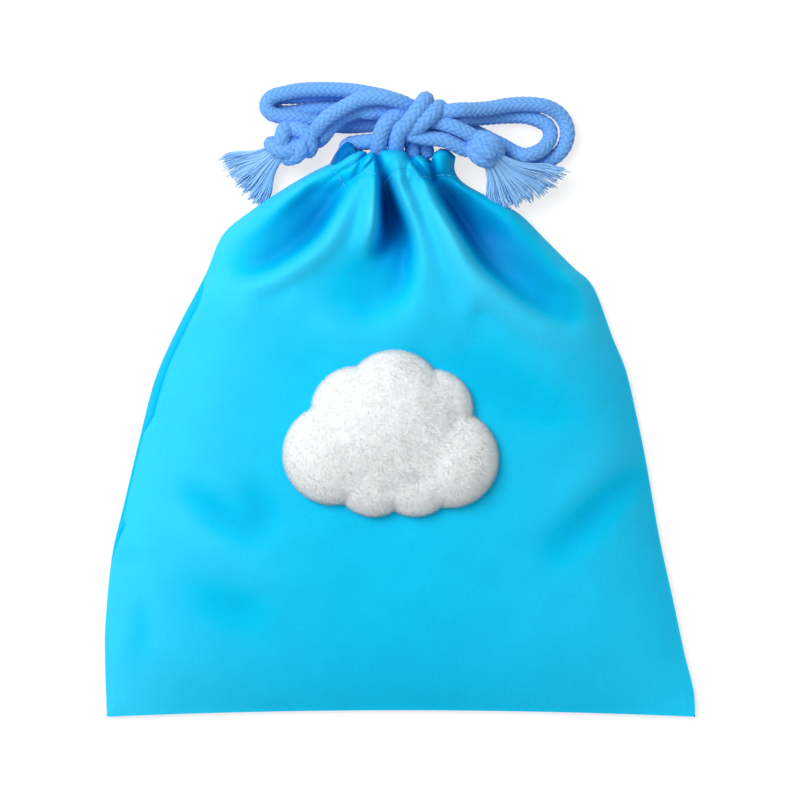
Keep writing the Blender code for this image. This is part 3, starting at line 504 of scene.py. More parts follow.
def band_scale(spacing):
    """Wave texture scale that puts one band in each spacing."""
    return 2 * math.pi / (20 * spacing)


def principled(name, settings):
    """A material with one Principled shader at these settings, its node tree and its shader."""
    finish = bpy.data.materials.new(name)
    finish.use_nodes = True
    shader = finish.node_tree.nodes["Principled BSDF"]
    for key, value in settings.items():
        shader.inputs[key].default_value = value
    return finish, finish.node_tree, shader


def woven_polyester(settings):
    """Smooth plain-woven polyester: a soft satin gloss over fine threads, with a deeper blue painted inside
    its folds as painted shade and a paler blue painted on their crests as a painted highlight.
    """
    finish, tree, shader = principled("polyester_plain_weave", {
        "Roughness": 0.50, "Specular IOR Level": 0.05})
    place = add_node(tree, "ShaderNodeTexCoord").outputs["Object"]
    # Real threads are about 0.12 mm apart, too fine to show here, so they are drawn at the spacing set
    scale = band_scale(settings.thread_spacing)
    across = add_node(tree, "ShaderNodeTexWave", {"bands_direction": "X", "Scale": scale}, {"Vector": place})
    down = add_node(tree, "ShaderNodeTexWave", {"bands_direction": "Y", "Scale": scale}, {"Vector": place})
    weave = add_node(tree, "ShaderNodeMath", {"operation": "MULTIPLY"},
                     {0: across.outputs["Fac"], 1: down.outputs["Fac"]})
    slubs = add_node(tree, "ShaderNodeTexNoise", {"Scale": 1 / (1.1 * MM), "Detail": 3.0}, {"Vector": place})
    patches = add_node(tree, "ShaderNodeTexNoise", {"Scale": 1 / (14 * MM), "Detail": 2.0}, {"Vector": place})
    uneven = add_node(tree, "ShaderNodeMath", {"operation": "MULTIPLY"},
                      {0: slubs.outputs["Fac"], 1: patches.outputs["Fac"]})
    # Painted light and shade: the colour follows the folds, a deep blue in their hollows as painted shade and
    # a pale blue on their crests as a painted highlight.
    folds = add_node(tree, "ShaderNodeAttribute", {"attribute_name": "painted_fold_light"})
    colour = add_node(tree, "ShaderNodeValToRGB", None, {"Fac": folds.outputs["Fac"]})
    stops = colour.color_ramp.elements
    stops[0].color, stops[0].position = linear(settings.deep), 0.0
    stops[1].color, stops[1].position = linear(settings.crest), 1.0
    for position, value in ((HOLLOW_TONE, settings.hollow), (SHADE_TONE, settings.shade),
                            (COLOUR_TONE, settings.colour)):
        stops.new(position).color = linear(value)
    tone = add_node(tree, "ShaderNodeMapRange", {"From Min": 0.12, "From Max": 0.42, "To Min": 0.955,
                                                 "To Max": 1.03}, {"Value": uneven.outputs["Value"]})
    fold_light_and_uneven_dye = add_node(tree, "ShaderNodeHueSaturation", None,
                    {"Color": colour.outputs["Color"], "Value": tone.outputs["Result"]})
    tree.links.new(fold_light_and_uneven_dye.outputs["Color"], shader.inputs["Base Color"])
    threads = add_node(tree, "ShaderNodeBump", {"Strength": 0.35, "Distance": 0.06 * MM},
                       {"Height": weave.outputs["Value"]})
    grain = add_node(tree, "ShaderNodeBump", {"Strength": 0.5, "Distance": 0.10 * MM},
                     {"Height": slubs.outputs["Fac"], "Normal": threads.outputs["Normal"]})
    tree.links.new(grain.outputs["Normal"], shader.inputs["Normal"])
    return finish


def braided_cotton(settings):
    """Soft braided cotton cord: dull fuzzy yarns, with painted shade: painted dark deep between the yarns and
    lighter on their crowns.
    """
    finish, tree, shader = principled("cotton_braid", {
        "Roughness": 0.88, "Specular IOR Level": 0.18, "Sheen Weight": 0.30, "Sheen Roughness": 0.6})
    shader.inputs["Sheen Tint"].default_value = linear("#C4DAFF")
    place = add_node(tree, "ShaderNodeTexCoord").outputs["Object"]
    crown = add_node(tree, "ShaderNodeAttribute", {"attribute_name": "crown"})
    lint = add_node(tree, "ShaderNodeTexNoise", {"Scale": 1 / (0.45 * MM), "Detail": 4.0}, {"Vector": place})
    # Painted shade: the colour goes darker where the braid's surface lies deep between its yarns.
    height = add_node(tree, "ShaderNodeMapRange", {"From Min": 0.15, "From Max": 0.75},
                      {"Value": crown.outputs["Fac"]})
    yarn = add_node(tree, "ShaderNodeMix", {"data_type": "RGBA"}, {"Factor": height.outputs["Result"]})
    yarn.inputs["A"].default_value = linear(settings.shade)
    yarn.inputs["B"].default_value = linear(settings.colour)
    dust = add_node(tree, "ShaderNodeMapRange", {"From Min": 0.35, "From Max": 0.70, "To Max": 0.22},
                    {"Value": lint.outputs["Fac"]})
    pale = add_node(tree, "ShaderNodeMix", {"data_type": "RGBA"},
                    {"Factor": dust.outputs["Result"], "A": yarn.outputs["Result"]})
    pale.inputs["B"].default_value = linear("#90C4FA")
    tree.links.new(pale.outputs["Result"], shader.inputs["Base Color"])
    fuzz = add_node(tree, "ShaderNodeBump", {"Strength": 0.6, "Distance": 0.18 * MM},
                    {"Height": lint.outputs["Fac"]})
    tree.links.new(fuzz.outputs["Normal"], shader.inputs["Normal"])
    return finish


def frayed_cotton(settings):
    """Loose cotton yarns: dull, and painted paler than the braid, as painted light for the light that passes
    between them.
    """
    finish, tree, shader = principled("frayed_cotton", {
        "Roughness": 0.90, "Specular IOR Level": 0.12, "Sheen Weight": 0.35, "Sheen Roughness": 0.6})
    shader.inputs["Sheen Tint"].default_value = linear("#D4E6FF")
    crown = add_node(tree, "ShaderNodeAttribute", {"attribute_name": "crown"})
    # Painted light: paler yarns, each at its own random share of the pale colour.
    yarn = add_node(tree, "ShaderNodeMix", {"data_type": "RGBA"}, {"Factor": crown.outputs["Fac"]})
    yarn.inputs["A"].default_value = linear(settings.colour)
    yarn.inputs["B"].default_value = linear(settings.tassel)
    tree.links.new(yarn.outputs["Result"], shader.inputs["Base Color"])
    return finish


def short_pile_plush(settings):
    """White polyester plush with a short pile: matt, softly lit through its fibres, a little uneven."""
    finish, tree, shader = principled("short_pile_plush", {
        "Roughness": 0.95, "Specular IOR Level": 0.12, "Sheen Weight": 0.25, "Sheen Roughness": 0.7})
    place = add_node(tree, "ShaderNodeTexCoord").outputs["Object"]
    tufts = add_node(tree, "ShaderNodeTexNoise", {"Scale": 1 / (3.0 * MM), "Detail": 4.0}, {"Vector": place})
    tone = add_node(tree, "ShaderNodeMapRange", {"From Min": 0.30, "From Max": 0.62},
                    {"Value": tufts.outputs["Fac"]})
    colour = add_node(tree, "ShaderNodeMix", {"data_type": "RGBA"}, {"Factor": tone.outputs["Result"]})
    colour.inputs["A"].default_value = linear("#ECEEEE")
    colour.inputs["B"].default_value = linear(settings.colour)
    tree.links.new(colour.outputs["Result"], shader.inputs["Base Color"])
    return finish


def sewing_thread():
    """Spun polyester sewing thread: a tone lighter than the cloth, with a slight gloss."""
    finish, tree, shader = principled("spun_polyester_thread", {
        "Roughness": 0.55, "Specular IOR Level": 0.35, "Sheen Weight": 0.2})
    place = add_node(tree, "ShaderNodeTexCoord").outputs["Object"]
    twist = add_node(tree, "ShaderNodeTexWave",
                     {"bands_direction": "DIAGONAL", "Scale": band_scale(THREAD_TWIST)}, {"Vector": place})
    colour = add_node(tree, "ShaderNodeMix", {"data_type": "RGBA"}, {"Factor": twist.outputs["Fac"]})
    colour.inputs["A"].default_value = linear("#22B4E8")
    colour.inputs["B"].default_value = linear("#55D2FA")
    tree.links.new(colour.outputs["Result"], shader.inputs["Base Color"])
    return finish


def seen_rays(tree):
    """A socket that is 1 where something is seen, straight or in a gloss, and 0 where it only gives light."""
    path = add_node(tree, "ShaderNodeLightPath")
    mirrored = add_node(tree, "ShaderNodeMath", {"operation": "MAXIMUM"},
                        {0: path.outputs["Is Glossy Ray"], 1: path.outputs["Is Transmission Ray"]})
    seen = add_node(tree, "ShaderNodeMath", {"operation": "MAXIMUM"},
                    {0: path.outputs["Is Camera Ray"], 1: mirrored.outputs["Value"]})
    return seen.outputs["Value"]


def white_paper_floor():
    """Matt white backdrop paper: white to the camera where no shadow falls, plain white card to the light."""
    finish = bpy.data.materials.new("white_backdrop_paper")
    finish.use_nodes = True
    tree = finish.node_tree
    tree.nodes.remove(tree.nodes["Principled BSDF"])
    fibre = add_node(tree, "ShaderNodeTexNoise", {"Scale": 1 / (2 * MM)},
                     {"Vector": add_node(tree, "ShaderNodeTexCoord").outputs["Object"]})
    tone = add_node(tree, "ShaderNodeMapRange", {"To Min": 0.79, "To Max": 0.81},
                    {"Value": fibre.outputs["Fac"]})
    card = add_node(tree, "ShaderNodeBsdfDiffuse", links={"Color": tone.outputs["Result"]})
    shaded = add_node(tree, "ShaderNodeBsdfDiffuse", {"Color": (0.34, 0.34, 0.34, 1.0)})
    lit = add_node(tree, "ShaderNodeEmission", {"Strength": 0.72})
    seen = add_node(tree, "ShaderNodeAddShader", links={0: shaded.outputs[0], 1: lit.outputs[0]})
    mixed = add_node(tree, "ShaderNodeMixShader",
                     links={0: seen_rays(tree), 1: card.outputs[0], 2: seen.outputs[0]})
    tree.links.new(mixed.outputs[0], tree.nodes["Material Output"].inputs["Surface"])
    return finish


def smooth_route(points, count):
    """Points at even steps along a smooth curve through the given points."""
    route = np.asarray(points, float)
    before = 2 * route[0] - route[1]
    after = 2 * route[-1] - route[-2]
    knots = np.vstack([before, route, after])
    fine = []
    for i in range(1, len(knots) - 2):
        a, b, c, d = knots[i - 1:i + 3]
        for t in np.linspace(0, 1, CURVE_STEPS, endpoint=False):
            fine.append(0.5 * (2 * b + (c - a) * t + (2 * a - 5 * b + 4 * c - d) * t ** 2
                               + (3 * b - a - 3 * c + d) * t ** 3))
    fine.append(route[-1])
    fine = np.array(fine)
    places = fine[:, :min(3, fine.shape[1])]
    run = run_lengths(places)
    steps = np.linspace(0, run[-1], count)
    return np.stack([np.interp(steps, run, fine[:, k]) for k in range(fine.shape[1])], axis=1)


def run_lengths(points):
    """Length along the points up to each of them."""
    steps = np.linalg.norm(np.diff(points, axis=0), axis=1)
    return np.concatenate([[0], np.cumsum(steps)])


def grid_faces(rows, columns, closed=False):
    """Four-sided faces of a grid of points, joined round where it is closed."""
    across = columns if closed else columns - 1
    j, i = np.meshgrid(np.arange(rows - 1), np.arange(across), indexing="ij")
    k = (i + 1) % columns
    return np.stack([j * columns + i, j * columns + k, (j + 1) * columns + k, (j + 1) * columns + i],
                    axis=-1).reshape(-1, 4)


def make_piece(name, points, faces, finish, crown=None, tone=None):
    """A smooth-shaded piece of mesh that rides on the pouch, with its braid's crowns or its folds' painted
    light and shade.
    """
    mesh = bpy.data.meshes.new(name)
    mesh.from_pydata(np.asarray(points).reshape(-1, 3).tolist(), [], [list(face) for face in faces])
    mesh.update()
    mesh.shade_smooth()
    if crown is not None:
        heights = mesh.attributes.new("crown", "FLOAT", "POINT")
        heights.data.foreach_set("value", np.asarray(crown, np.float32).ravel())
    if tone is not None:
        tones = mesh.attributes.new("painted_fold_light", "FLOAT", "POINT")
        tones.data.foreach_set("value", np.asarray(tone, np.float32).ravel())
    mesh.materials.append(finish)
    piece = bpy.data.objects.new(name, mesh)
    bpy.context.scene.collection.objects.link(piece)
    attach(piece, "root")
    return piece


def braid_crowns(around, run, settings):
    """How high the braid's top yarn stands, from 0 in a gap to 1 on a crown, at angles and lengths."""
    turns = around * settings.carriers / (2 * math.pi)
    wound = run * settings.carriers / settings.pitch
    one_way = turns + wound
    other_way = turns - wound
    one = np.floor(one_way)
    other = np.floor(other_way)
    one_round = np.sqrt(np.clip(1 - (2 * (one_way - one) - 1) ** 2, 0, 1))
    other_round = np.sqrt(np.clip(1 - (2 * (other_way - other) - 1) ** 2, 0, 1))
    # Each yarn goes over two of the others and under two
    one_lift = np.cos(math.pi / 2 * (one + other_way - 1))
    other_lift = -np.cos(math.pi / 2 * (other + one_way - 1))
    height = np.maximum(one_round * (YARN_LEVEL + YARN_LIFT * one_lift),
                        other_round * (YARN_LEVEL + YARN_LIFT * other_lift))
    return np.clip(height, 0, 1)


def ring_directions(centres):
    """Two directions across a route at each of its points, turning as little as they can."""
    ahead = np.gradient(centres, axis=0)
    ahead /= np.linalg.norm(ahead, axis=1)[:, None]
    side = np.array([ahead[0][1], -ahead[0][0], 0.02])
    sides = []
    for direction in ahead:
        side = side - direction * side.dot(direction)
        side = side / np.linalg.norm(side)
        sides.append(side)
    sides = np.array(sides)
    return sides, np.cross(ahead, sides)


def braided_tube(route, settings, plump=1.0):
    """Points, faces, crown heights and middle line of one braided strand with rounded ends."""
    spokes = SPOKES_PER_CARRIER * settings.carriers
    length = run_lengths(smooth_route(route, ROUTE_SAMPLES))[-1]
    rings = math.ceil(length / RING_SPACING) + 1
    centres = smooth_route(route, rings)
    run = run_lengths(centres)
    around = np.arange(spokes) * 2 * math.pi / spokes
    crowns = braid_crowns(around[None, :], run[:, None], settings)
    radius = settings.diameter / 2 * plump
    to_end = np.minimum(run, run[-1] - run)
    end_round = np.sqrt(np.clip(1 - np.clip(1 - to_end / radius, 0, 1) ** 2, END_LEAST, 1))
    reach = (radius - settings.relief * (1 - crowns)) * end_round[:, None]
    sides, ups = ring_directions(centres)
    points = (centres[:, None, :] + (reach * np.cos(around))[..., None] * sides[:, None, :]
              + (reach * np.sin(around))[..., None] * ups[:, None, :])
    faces = [tuple(face) for face in grid_faces(rings, spokes, closed=True).tolist()]
    last = (rings - 1) * spokes
    faces.append(tuple(range(spokes - 1, -1, -1)))
    faces.append(tuple(range(last, last + spokes)))
    return points.reshape(-1, 3), faces, crowns.ravel(), centres


def joined(parts):
    """Points, faces and crown heights of several parts as one."""
    points, faces, crowns, start = [], [], [], 0
    for part_points, part_faces, part_crowns in parts:
        points.append(part_points)
        crowns.append(part_crowns)
        faces.extend([tuple(k + start for k in face) for face in part_faces])
        start += len(part_points)
    return np.vstack(points), faces, np.concatenate(crowns)


def knot_core(name):
    """The middle of a knot, under its strands, painted dark as painted shade."""
    middle, half, turn = KNOT_CORES[name]
    spokes, rings = CORE_GRID
    polar = np.linspace(0, math.pi, rings)[:, None]
    around = np.arange(spokes)[None, :] * 2 * math.pi / spokes
    x = -half[0] * np.cos(polar) * np.ones_like(around)
    y = half[1] * np.sin(polar) * np.cos(around)
    z = half[2] * np.sin(polar) * np.sin(around)
    turn = math.radians(turn)
    points = np.stack([middle[0] + x * math.cos(turn) - y * math.sin(turn),
                       middle[1] + x * math.sin(turn) + y * math.cos(turn), middle[2] + z], axis=-1) * MM
    faces = [tuple(face[::-1]) for face in grid_faces(rings - 2, spokes, closed=True).tolist()]
    inner = points[1:-1].reshape(-1, 3)
    points = np.vstack([inner, points[0, :1], points[-1, :1]])
    first, last = len(inner), len(inner) + 1
    top = len(inner) - spokes
    faces += [(k, first, (k + 1) % spokes)[::-1] for k in range(spokes)]
    faces += [(top + k, top + (k + 1) % spokes, last)[::-1] for k in range(spokes)]
    return points, faces, np.full(len(points), CORE_PAINTED_SHADE)


def make_knot(name, strands, plumpness, settings, finish, node):
    """A tied knot: braided strands, pressed wider, wound over a middle that is painted dark as painted shade.
    """
    parts = [knot_core(node)]
    for strand in strands:
        points, faces, crowns, _ = braided_tube(np.array(strand) * MM, settings, plumpness)
        parts.append((points, faces, crowns))
    points, faces, crowns = joined(parts)
    knot = make_piece(name, points, faces, finish, crowns)
    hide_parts(node)
    return knot


def thin_yarns(paths, radii, spokes):
    """Points and faces of many thin yarns: their paths by yarn, ring and axis, and a radius for each ring."""
    yarns, rings, _ = paths.shape
    ahead = np.gradient(paths, axis=1)
    ahead /= np.linalg.norm(ahead, axis=2)[..., None]
    sides = np.cross(ahead, [0.0, 0.0, 1.0])
    sides /= np.maximum(np.linalg.norm(sides, axis=2), 1e-9)[..., None]
    ups = np.cross(sides, ahead)
    around = np.arange(spokes) * 2 * math.pi / spokes
    points = (paths[:, :, None, :]
              + (radii[:, :, None] * np.cos(around))[..., None] * sides[:, :, None, :]
              + (radii[:, :, None] * np.sin(around))[..., None] * ups[:, :, None, :])
    one = grid_faces(rings, spokes, closed=True)
    faces = []
    for yarn in range(yarns):
        start = yarn * rings * spokes
        faces.extend(map(tuple, (one + start).tolist()))
        last = start + (rings - 1) * spokes
        faces.append(tuple(range(start + spokes - 1, start - 1, -1)))
        faces.append(tuple(range(last, last + spokes)))
    return points.reshape(-1, 3), faces


def make_tassel(node, settings, finish):
    """A frayed cord end: loose yarns that fan out from the knot, uneven at their tips."""
    (root_x, root_y), sides, lengths, root_z, tip_z = TASSELS[node]
    chance = np.random.default_rng(SEEDS[node])
    count = settings.tassel_yarns
    share = (np.arange(count) + chance.uniform(-YARN_MIXING, YARN_MIXING, count)) / count
    share = np.clip(share, 0, 1)
    layer = chance.uniform(-1, 1, count)
    angle = np.radians(sides[0] + (sides[1] - sides[0]) * share + chance.normal(0, YARN_SWERVE, count))
    length = lengths[0] + (lengths[1] - lengths[0]) * share
    # Yarns end in small tufts
    tuft = np.sin(share * 2 * math.pi * TUFTS) * TUFT_DEPTH * MM
    length = length + tuft + chance.normal(0, TIP_UNEVENNESS, count)
    heading = math.radians(sum(sides) / 2)
    turn = math.copysign(1, sides[1] - sides[0])
    spread = (2 * share - 1) * (TASSEL_ROOT_WIDTH / 2) * turn
    step = np.linspace(0, 1, YARN_RINGS)[None, :]
    flare = step ** FLARE_POWER
    droop = np.clip(step * DROOP_SPEED, 0, 1)
    start = np.array([root_x, root_y])
    forward = np.stack([np.cos(angle), np.sin(angle)], axis=-1)
    bundle = np.array([-math.sin(heading), math.cos(heading)])
    wave_size = chance.uniform(*WAVE_SIZES, count)[:, None] * MM
    wave_speed = chance.uniform(*WAVE_SPEEDS, count)[:, None]
    wave = wave_size * np.sin(step * wave_speed + chance.uniform(0, WAVE_TURN, count)[:, None])
    reach = length[:, None] * step
    middle_way = np.array([math.cos(heading), math.sin(heading)])
    way = middle_way + (forward[:, None, :] - middle_way) * np.clip(FLARE_START + flare, 0, 1)[..., None]
    flat = (start + spread[:, None, None] * bundle + reach[..., None] * way
            + (wave * step)[..., None] * np.stack([-forward[:, 1], forward[:, 0]], axis=-1)[:, None, :])
    thick = (BUNDLE_THICKNESS * (1 - TIP_THINNING * step)) * layer[:, None]
    sway = 1 + LAYER_SWAY * np.sin(SWAY_SPEED * step + layer[:, None])
    height = root_z + (tip_z - root_z) * droop + thick * LAYER_SHARE * sway
    height = np.maximum(height, LOWEST_YARN)
    paths = np.concatenate([flat, height[..., None]], axis=-1)
    taper = 1 - YARN_TAPER * np.clip(step * 2 - 1, 0, 1) ** 2
    radii = chance.uniform(*YARN_RADII, count)[:, None] * MM * taper
    points, faces = thin_yarns(paths, radii, YARN_SPOKES)
    crowns = np.repeat(chance.uniform(*YARN_TONES, count), YARN_RINGS * YARN_SPOKES)
    tassel = make_piece(node.replace("tassel", "frayed_tassel"), points, faces, finish, crowns)
    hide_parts(node)
    return tassel


def fall_off(distance, reach):
    """1 at no distance, 0 beyond the reach, smooth between."""
    share = np.clip(distance / reach, 0, 1)
    return 1 - share * share * (3 - 2 * share)


def rise(distance, reach):
    """0 at a seam, near 1 a few reaches away."""
    return 1 - np.exp(-np.maximum(distance, 0) / reach)


def from_shares(points):
    """Panel shares as x and y in metres."""
    shares = np.asarray(points, float)
    return np.stack([shares[:, 0] * BAG_WIDTH / 2, (shares[:, 1] - 0.5) * BAG_HEIGHT], axis=1)


LEFT_LINE = smooth_route(from_shares(LEFT_SEAM), SEAM_SAMPLES)
RIGHT_LINE = smooth_route(from_shares(RIGHT_SEAM), SEAM_SAMPLES)
WRINKLE_LINES = [smooth_route(np.array(route) * MM, WRINKLE_SAMPLES) for route in WRINKLES.values()]
for stitched in STITCH_LINES:
    groove = [(*place, STITCH_WIDTH / MM, -STITCH_GROOVE / MM) for place in stitched]
    WRINKLE_LINES.append(smooth_route(np.array(groove) * MM, GROOVE_SAMPLES))


def along(line, v):
    """x and y on a seam at the share v of its length."""
    steps = np.linspace(0, 1, len(line))
    return np.interp(v, steps, line[:, 0]), np.interp(v, steps, line[:, 1])


def lobes(u):
    """1 on top of each gathered lobe, 0 in the dips between them."""
    height = np.zeros_like(u)
    for middle, half in GATHER_LOBES:
        reach = np.clip(np.abs(u - middle) / half, 0, 1)
        height = np.maximum(height, np.cos(reach * math.pi / 2) ** LOBE_POWER)
    return height


def panel_point(u, v):
    """x and y of the panel point at u across and v up, with the width of its row."""
    left_x, left_y = along(LEFT_LINE, v)
    right_x, right_y = along(RIGHT_LINE, v)
    x = left_x + (right_x - left_x) * u
    y = left_y + (right_y - left_y) * u
    y = y + BOTTOM_BOW * 4 * u * (1 - u) * fall_off(v, BOW_SHARE)
    edge = np.array(TOP_EDGE) * MM
    top_x = edge[0, 0] + (edge[-1, 0] - edge[0, 0]) * u
    top_y = np.interp(top_x, edge[:, 0], edge[:, 1])
    straight_y = edge[0, 1] + (edge[-1, 1] - edge[0, 1]) * u
    near_top = fall_off((1 - v) * BAG_HEIGHT, CHANNEL_HEIGHT * TOP_SHARE)
    return x, y + (top_y - straight_y) * near_top, right_x - left_x


def fold_places():
    """Places on the front with the heights that the folds have there, and level cloth further off."""
    shaped = []
    for route in FOLDS.values():
        line = np.array(route) * MM
        count = int(run_lengths(line[:, :2])[-1] / FOLD_SPACING) + 2
        shaped.append(smooth_route(line, count))
    shaped = np.concatenate(shaped)
    steps = np.arange(-0.11, 0.12, LEVEL_SPACING)
    level_x, level_y = [side.ravel() for side in np.meshgrid(steps, steps)]
    away = np.hypot(level_x[:, None] - shaped[:, 0], level_y[:, None] - shaped[:, 1]).min(axis=1)
    level = np.column_stack([level_x, level_y, np.zeros_like(level_x)])[away > LEVEL_DISTANCE]
    return np.concatenate([shaped, level])


FOLD_PLACES = fold_places()


def pulls(x, y):
    """How strongly each place of the folds acts at each x and y."""
    away = (x[:, None] - FOLD_PLACES[:, 0]) ** 2 + (y[:, None] - FOLD_PLACES[:, 1]) ** 2
    return np.sqrt(away + FOLD_SOFTNESS ** 2)


FOLD_WEIGHTS = np.linalg.solve(pulls(FOLD_PLACES[:, 0], FOLD_PLACES[:, 1])
                               - FOLD_EVENING * np.eye(len(FOLD_PLACES)), FOLD_PLACES[:, 2])


def fold_height(x, y):
    """Height of the gathered folds at x and y: a smooth surface through all their places."""
    flat_x, flat_y = x.ravel(), y.ravel()
    height = np.empty_like(flat_x)
    for start in range(0, len(flat_x), POINTS_AT_ONCE):
        part = slice(start, start + POINTS_AT_ONCE)
        height[part] = pulls(flat_x[part], flat_y[part]) @ FOLD_WEIGHTS
    return height.reshape(x.shape)


def wrinkle_height(x, y):
    """Height of the slits, wrinkles and stitch grooves at x and y: soft dips side by side along each line."""
    height = np.zeros_like(x)
    for line in WRINKLE_LINES:
        margin = WRINKLE_MARGIN * line[:, 2].max()
        near = ((x > line[:, 0].min() - margin) & (x < line[:, 0].max() + margin)
                & (y > line[:, 1].min() - margin) & (y < line[:, 1].max() + margin))
        near_x, near_y = x[near], y[near]
        added = np.zeros_like(near_x)
        spacing = run_lengths(line[:, :2])[-1] / (len(line) - 1)
        for point_x, point_y, half_width, rise_here in line:
            away = (near_x - point_x) ** 2 + (near_y - point_y) ** 2
            share = rise_here * spacing / (half_width * math.sqrt(math.pi))
            added += share * np.exp(-away / half_width ** 2)
        height[near] += added
    return height


def soft_noise(x, y, size, seed):
    """Smooth unevenness from -1 to 1, made of waves about as long as the size."""
    chance = np.random.default_rng(seed)
    total = np.zeros_like(x)
    for _ in range(NOISE_WAVES):
        heading = chance.uniform(0, 2 * math.pi)
        wave = 2 * math.pi / (size * chance.uniform(*NOISE_SPREAD))
        along_wave = x * math.cos(heading) + y * math.sin(heading)
        total += np.sin(wave * along_wave + chance.uniform(0, NOISE_TURN))
    return total / (NOISE_WAVES / 2)


def cloth_heights(u, v, settings):
    """x, y and the heights of the front and the back at u across and v up."""
    x, y, width = panel_point(u, v)
    from_top = (1 - v) * BAG_HEIGHT
    gathered = fall_off(from_top, GATHER_SPREAD * LOBE_REACH)
    side_roll = EDGE_ROLL * width / BAG_WIDTH * (1 - MOUTH_TIGHTNESS * gathered)
    from_left, from_right = u * width, (1 - u) * width
    sides = rise(from_left, side_roll) * rise(from_right, side_roll)
    hem = rise(from_top, HEM_ROLL)
    seam = SEAM_HEIGHT + (MOUTH_SEAM_HEIGHT - SEAM_HEIGHT) * gathered
    belly = BELLY_HEIGHT + (MOUTH_HEIGHT - BELLY_HEIGHT) * gathered
    lobe = lobes(u)
    front = belly + fold_height(x, y) + wrinkle_height(x, y)
    front += LOBE_RISE * lobe * fall_off(from_top, LOBE_REACH)
    front += settings.undulation * (soft_noise(x, y, BROAD_SIZE, SEEDS["broad"])
                                    + FINE_SHARE * soft_noise(x, y, FINE_SIZE, SEEDS["fine"]))
    # Fine gathers beside the channel's stitches, and puckers along the sewn edges
    gathers = (soft_noise(x, y * GATHER_STRETCH, GATHER_SIZE, SEEDS["gathers"])
               * np.exp(-((from_top - CHANNEL_HEIGHT) / GATHER_BAND) ** 2))
    from_edge = np.minimum(np.minimum(from_left, from_right), v * BAG_HEIGHT)
    puckers = soft_noise(x, y, PUCKER_SIZE, SEEDS["puckers"]) * np.exp(-from_edge / PUCKER_BAND)
    front += GATHER_HEIGHT * gathers + PUCKER_HEIGHT * puckers
    front = seam + (front - seam) * sides * rise(v * BAG_HEIGHT, BOTTOM_ROLL) * hem
    strip = strip_width(v)
    shown = np.clip(strip / MM, 0, 1)
    front += STEP_HEIGHT * shown * rise(from_left, STEP_ROLL) * np.exp(-from_left / STEP_FADE)
    front -= STEP_GROOVE * np.exp(-((from_left - strip) / STEP_GROOVE_WIDTH) ** 2) * shown
    back_rise = (rise(from_left, BACK_ROLL) * rise(from_right, BACK_ROLL)
                 * rise(v * BAG_HEIGHT, BACK_ROLL) * hem)
    back_full = BACK_LOBE_RISE * (1 - lobe) * fall_off(from_top, LOBE_REACH)
    back = np.maximum(seam + (back_full - seam) * back_rise, 0)
    # A deep fold stops short of the back
    least = back + np.minimum(LEAST_THICKNESS, from_edge * EDGE_SLOPE)
    over = CLAMP_SOFTNESS * np.logaddexp(0, (front - least) / CLAMP_SOFTNESS)
    front = np.where(hem < CLOSED_HEM, front, least + over)
    return x, y, front, back


def strip_width(v):
    """Width of the back panel's strip that shows past the left seam, at v up."""
    table = np.array(BACK_STRIP)
    return np.interp(v, table[:, 0], table[:, 1] * MM)


def painted_fold_light(x, y, u):
    """Painted light and shade: 0 deep in a fold, LEVEL_TONE on level cloth, up to 1 on a crest, and a painted
    sheen that is a little paler towards the seams.
    """
    folds = fold_height(x, y) + wrinkle_height(x, y)
    # Painted shade in the hollows and a painted highlight on the crests, by the folds' heights
    tone = np.where(folds < 0, folds / HOLLOW_REACH, folds / CREST_REACH)
    # Painted sheen: paler towards the seams, more on the left, towards the key lamp
    sheen = SIDE_PAINTED_SHEEN * (1 - np.sin(math.pi * u)) * (1 - PAINTED_SHEEN_LEFT * u)
    return np.clip(LEVEL_TONE + tone + sheen, 0, 1)


def crowded(count, crowding):
    """Shares from 0 to 1, closer together near both ends."""
    t = np.linspace(0, 1, count)
    return t - crowding * np.sin(2 * math.pi * t) / (2 * math.pi)


def rows_up(count):
    """Shares from the bottom seam to the mouth, closer together near the mouth."""
    return 1 - (1 - np.linspace(0, 1, count)) ** ROW_CROWDING


def make_front(settings, finish):
    """The front panel, from the left seam to the right one, gathered along its channel."""
    columns, rows = FRONT_GRID
    across, v = np.meshgrid(crowded(columns, FRONT_CROWDING), rows_up(rows))
    _, _, width = panel_point(across, v)
    start = strip_width(v) / width
    u = start + (1 - start) * across
    x, y, front, _ = cloth_heights(u, v, settings)
    points = np.stack([x, y, front], axis=-1)
    # The folds' painted light and shade, kept on the mesh for its material.
    tone = painted_fold_light(x, y, u)
    panel = make_piece("front_panel", points, grid_faces(rows, columns).tolist(), finish, tone=tone)
    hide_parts("pouch_bag")
    return panel


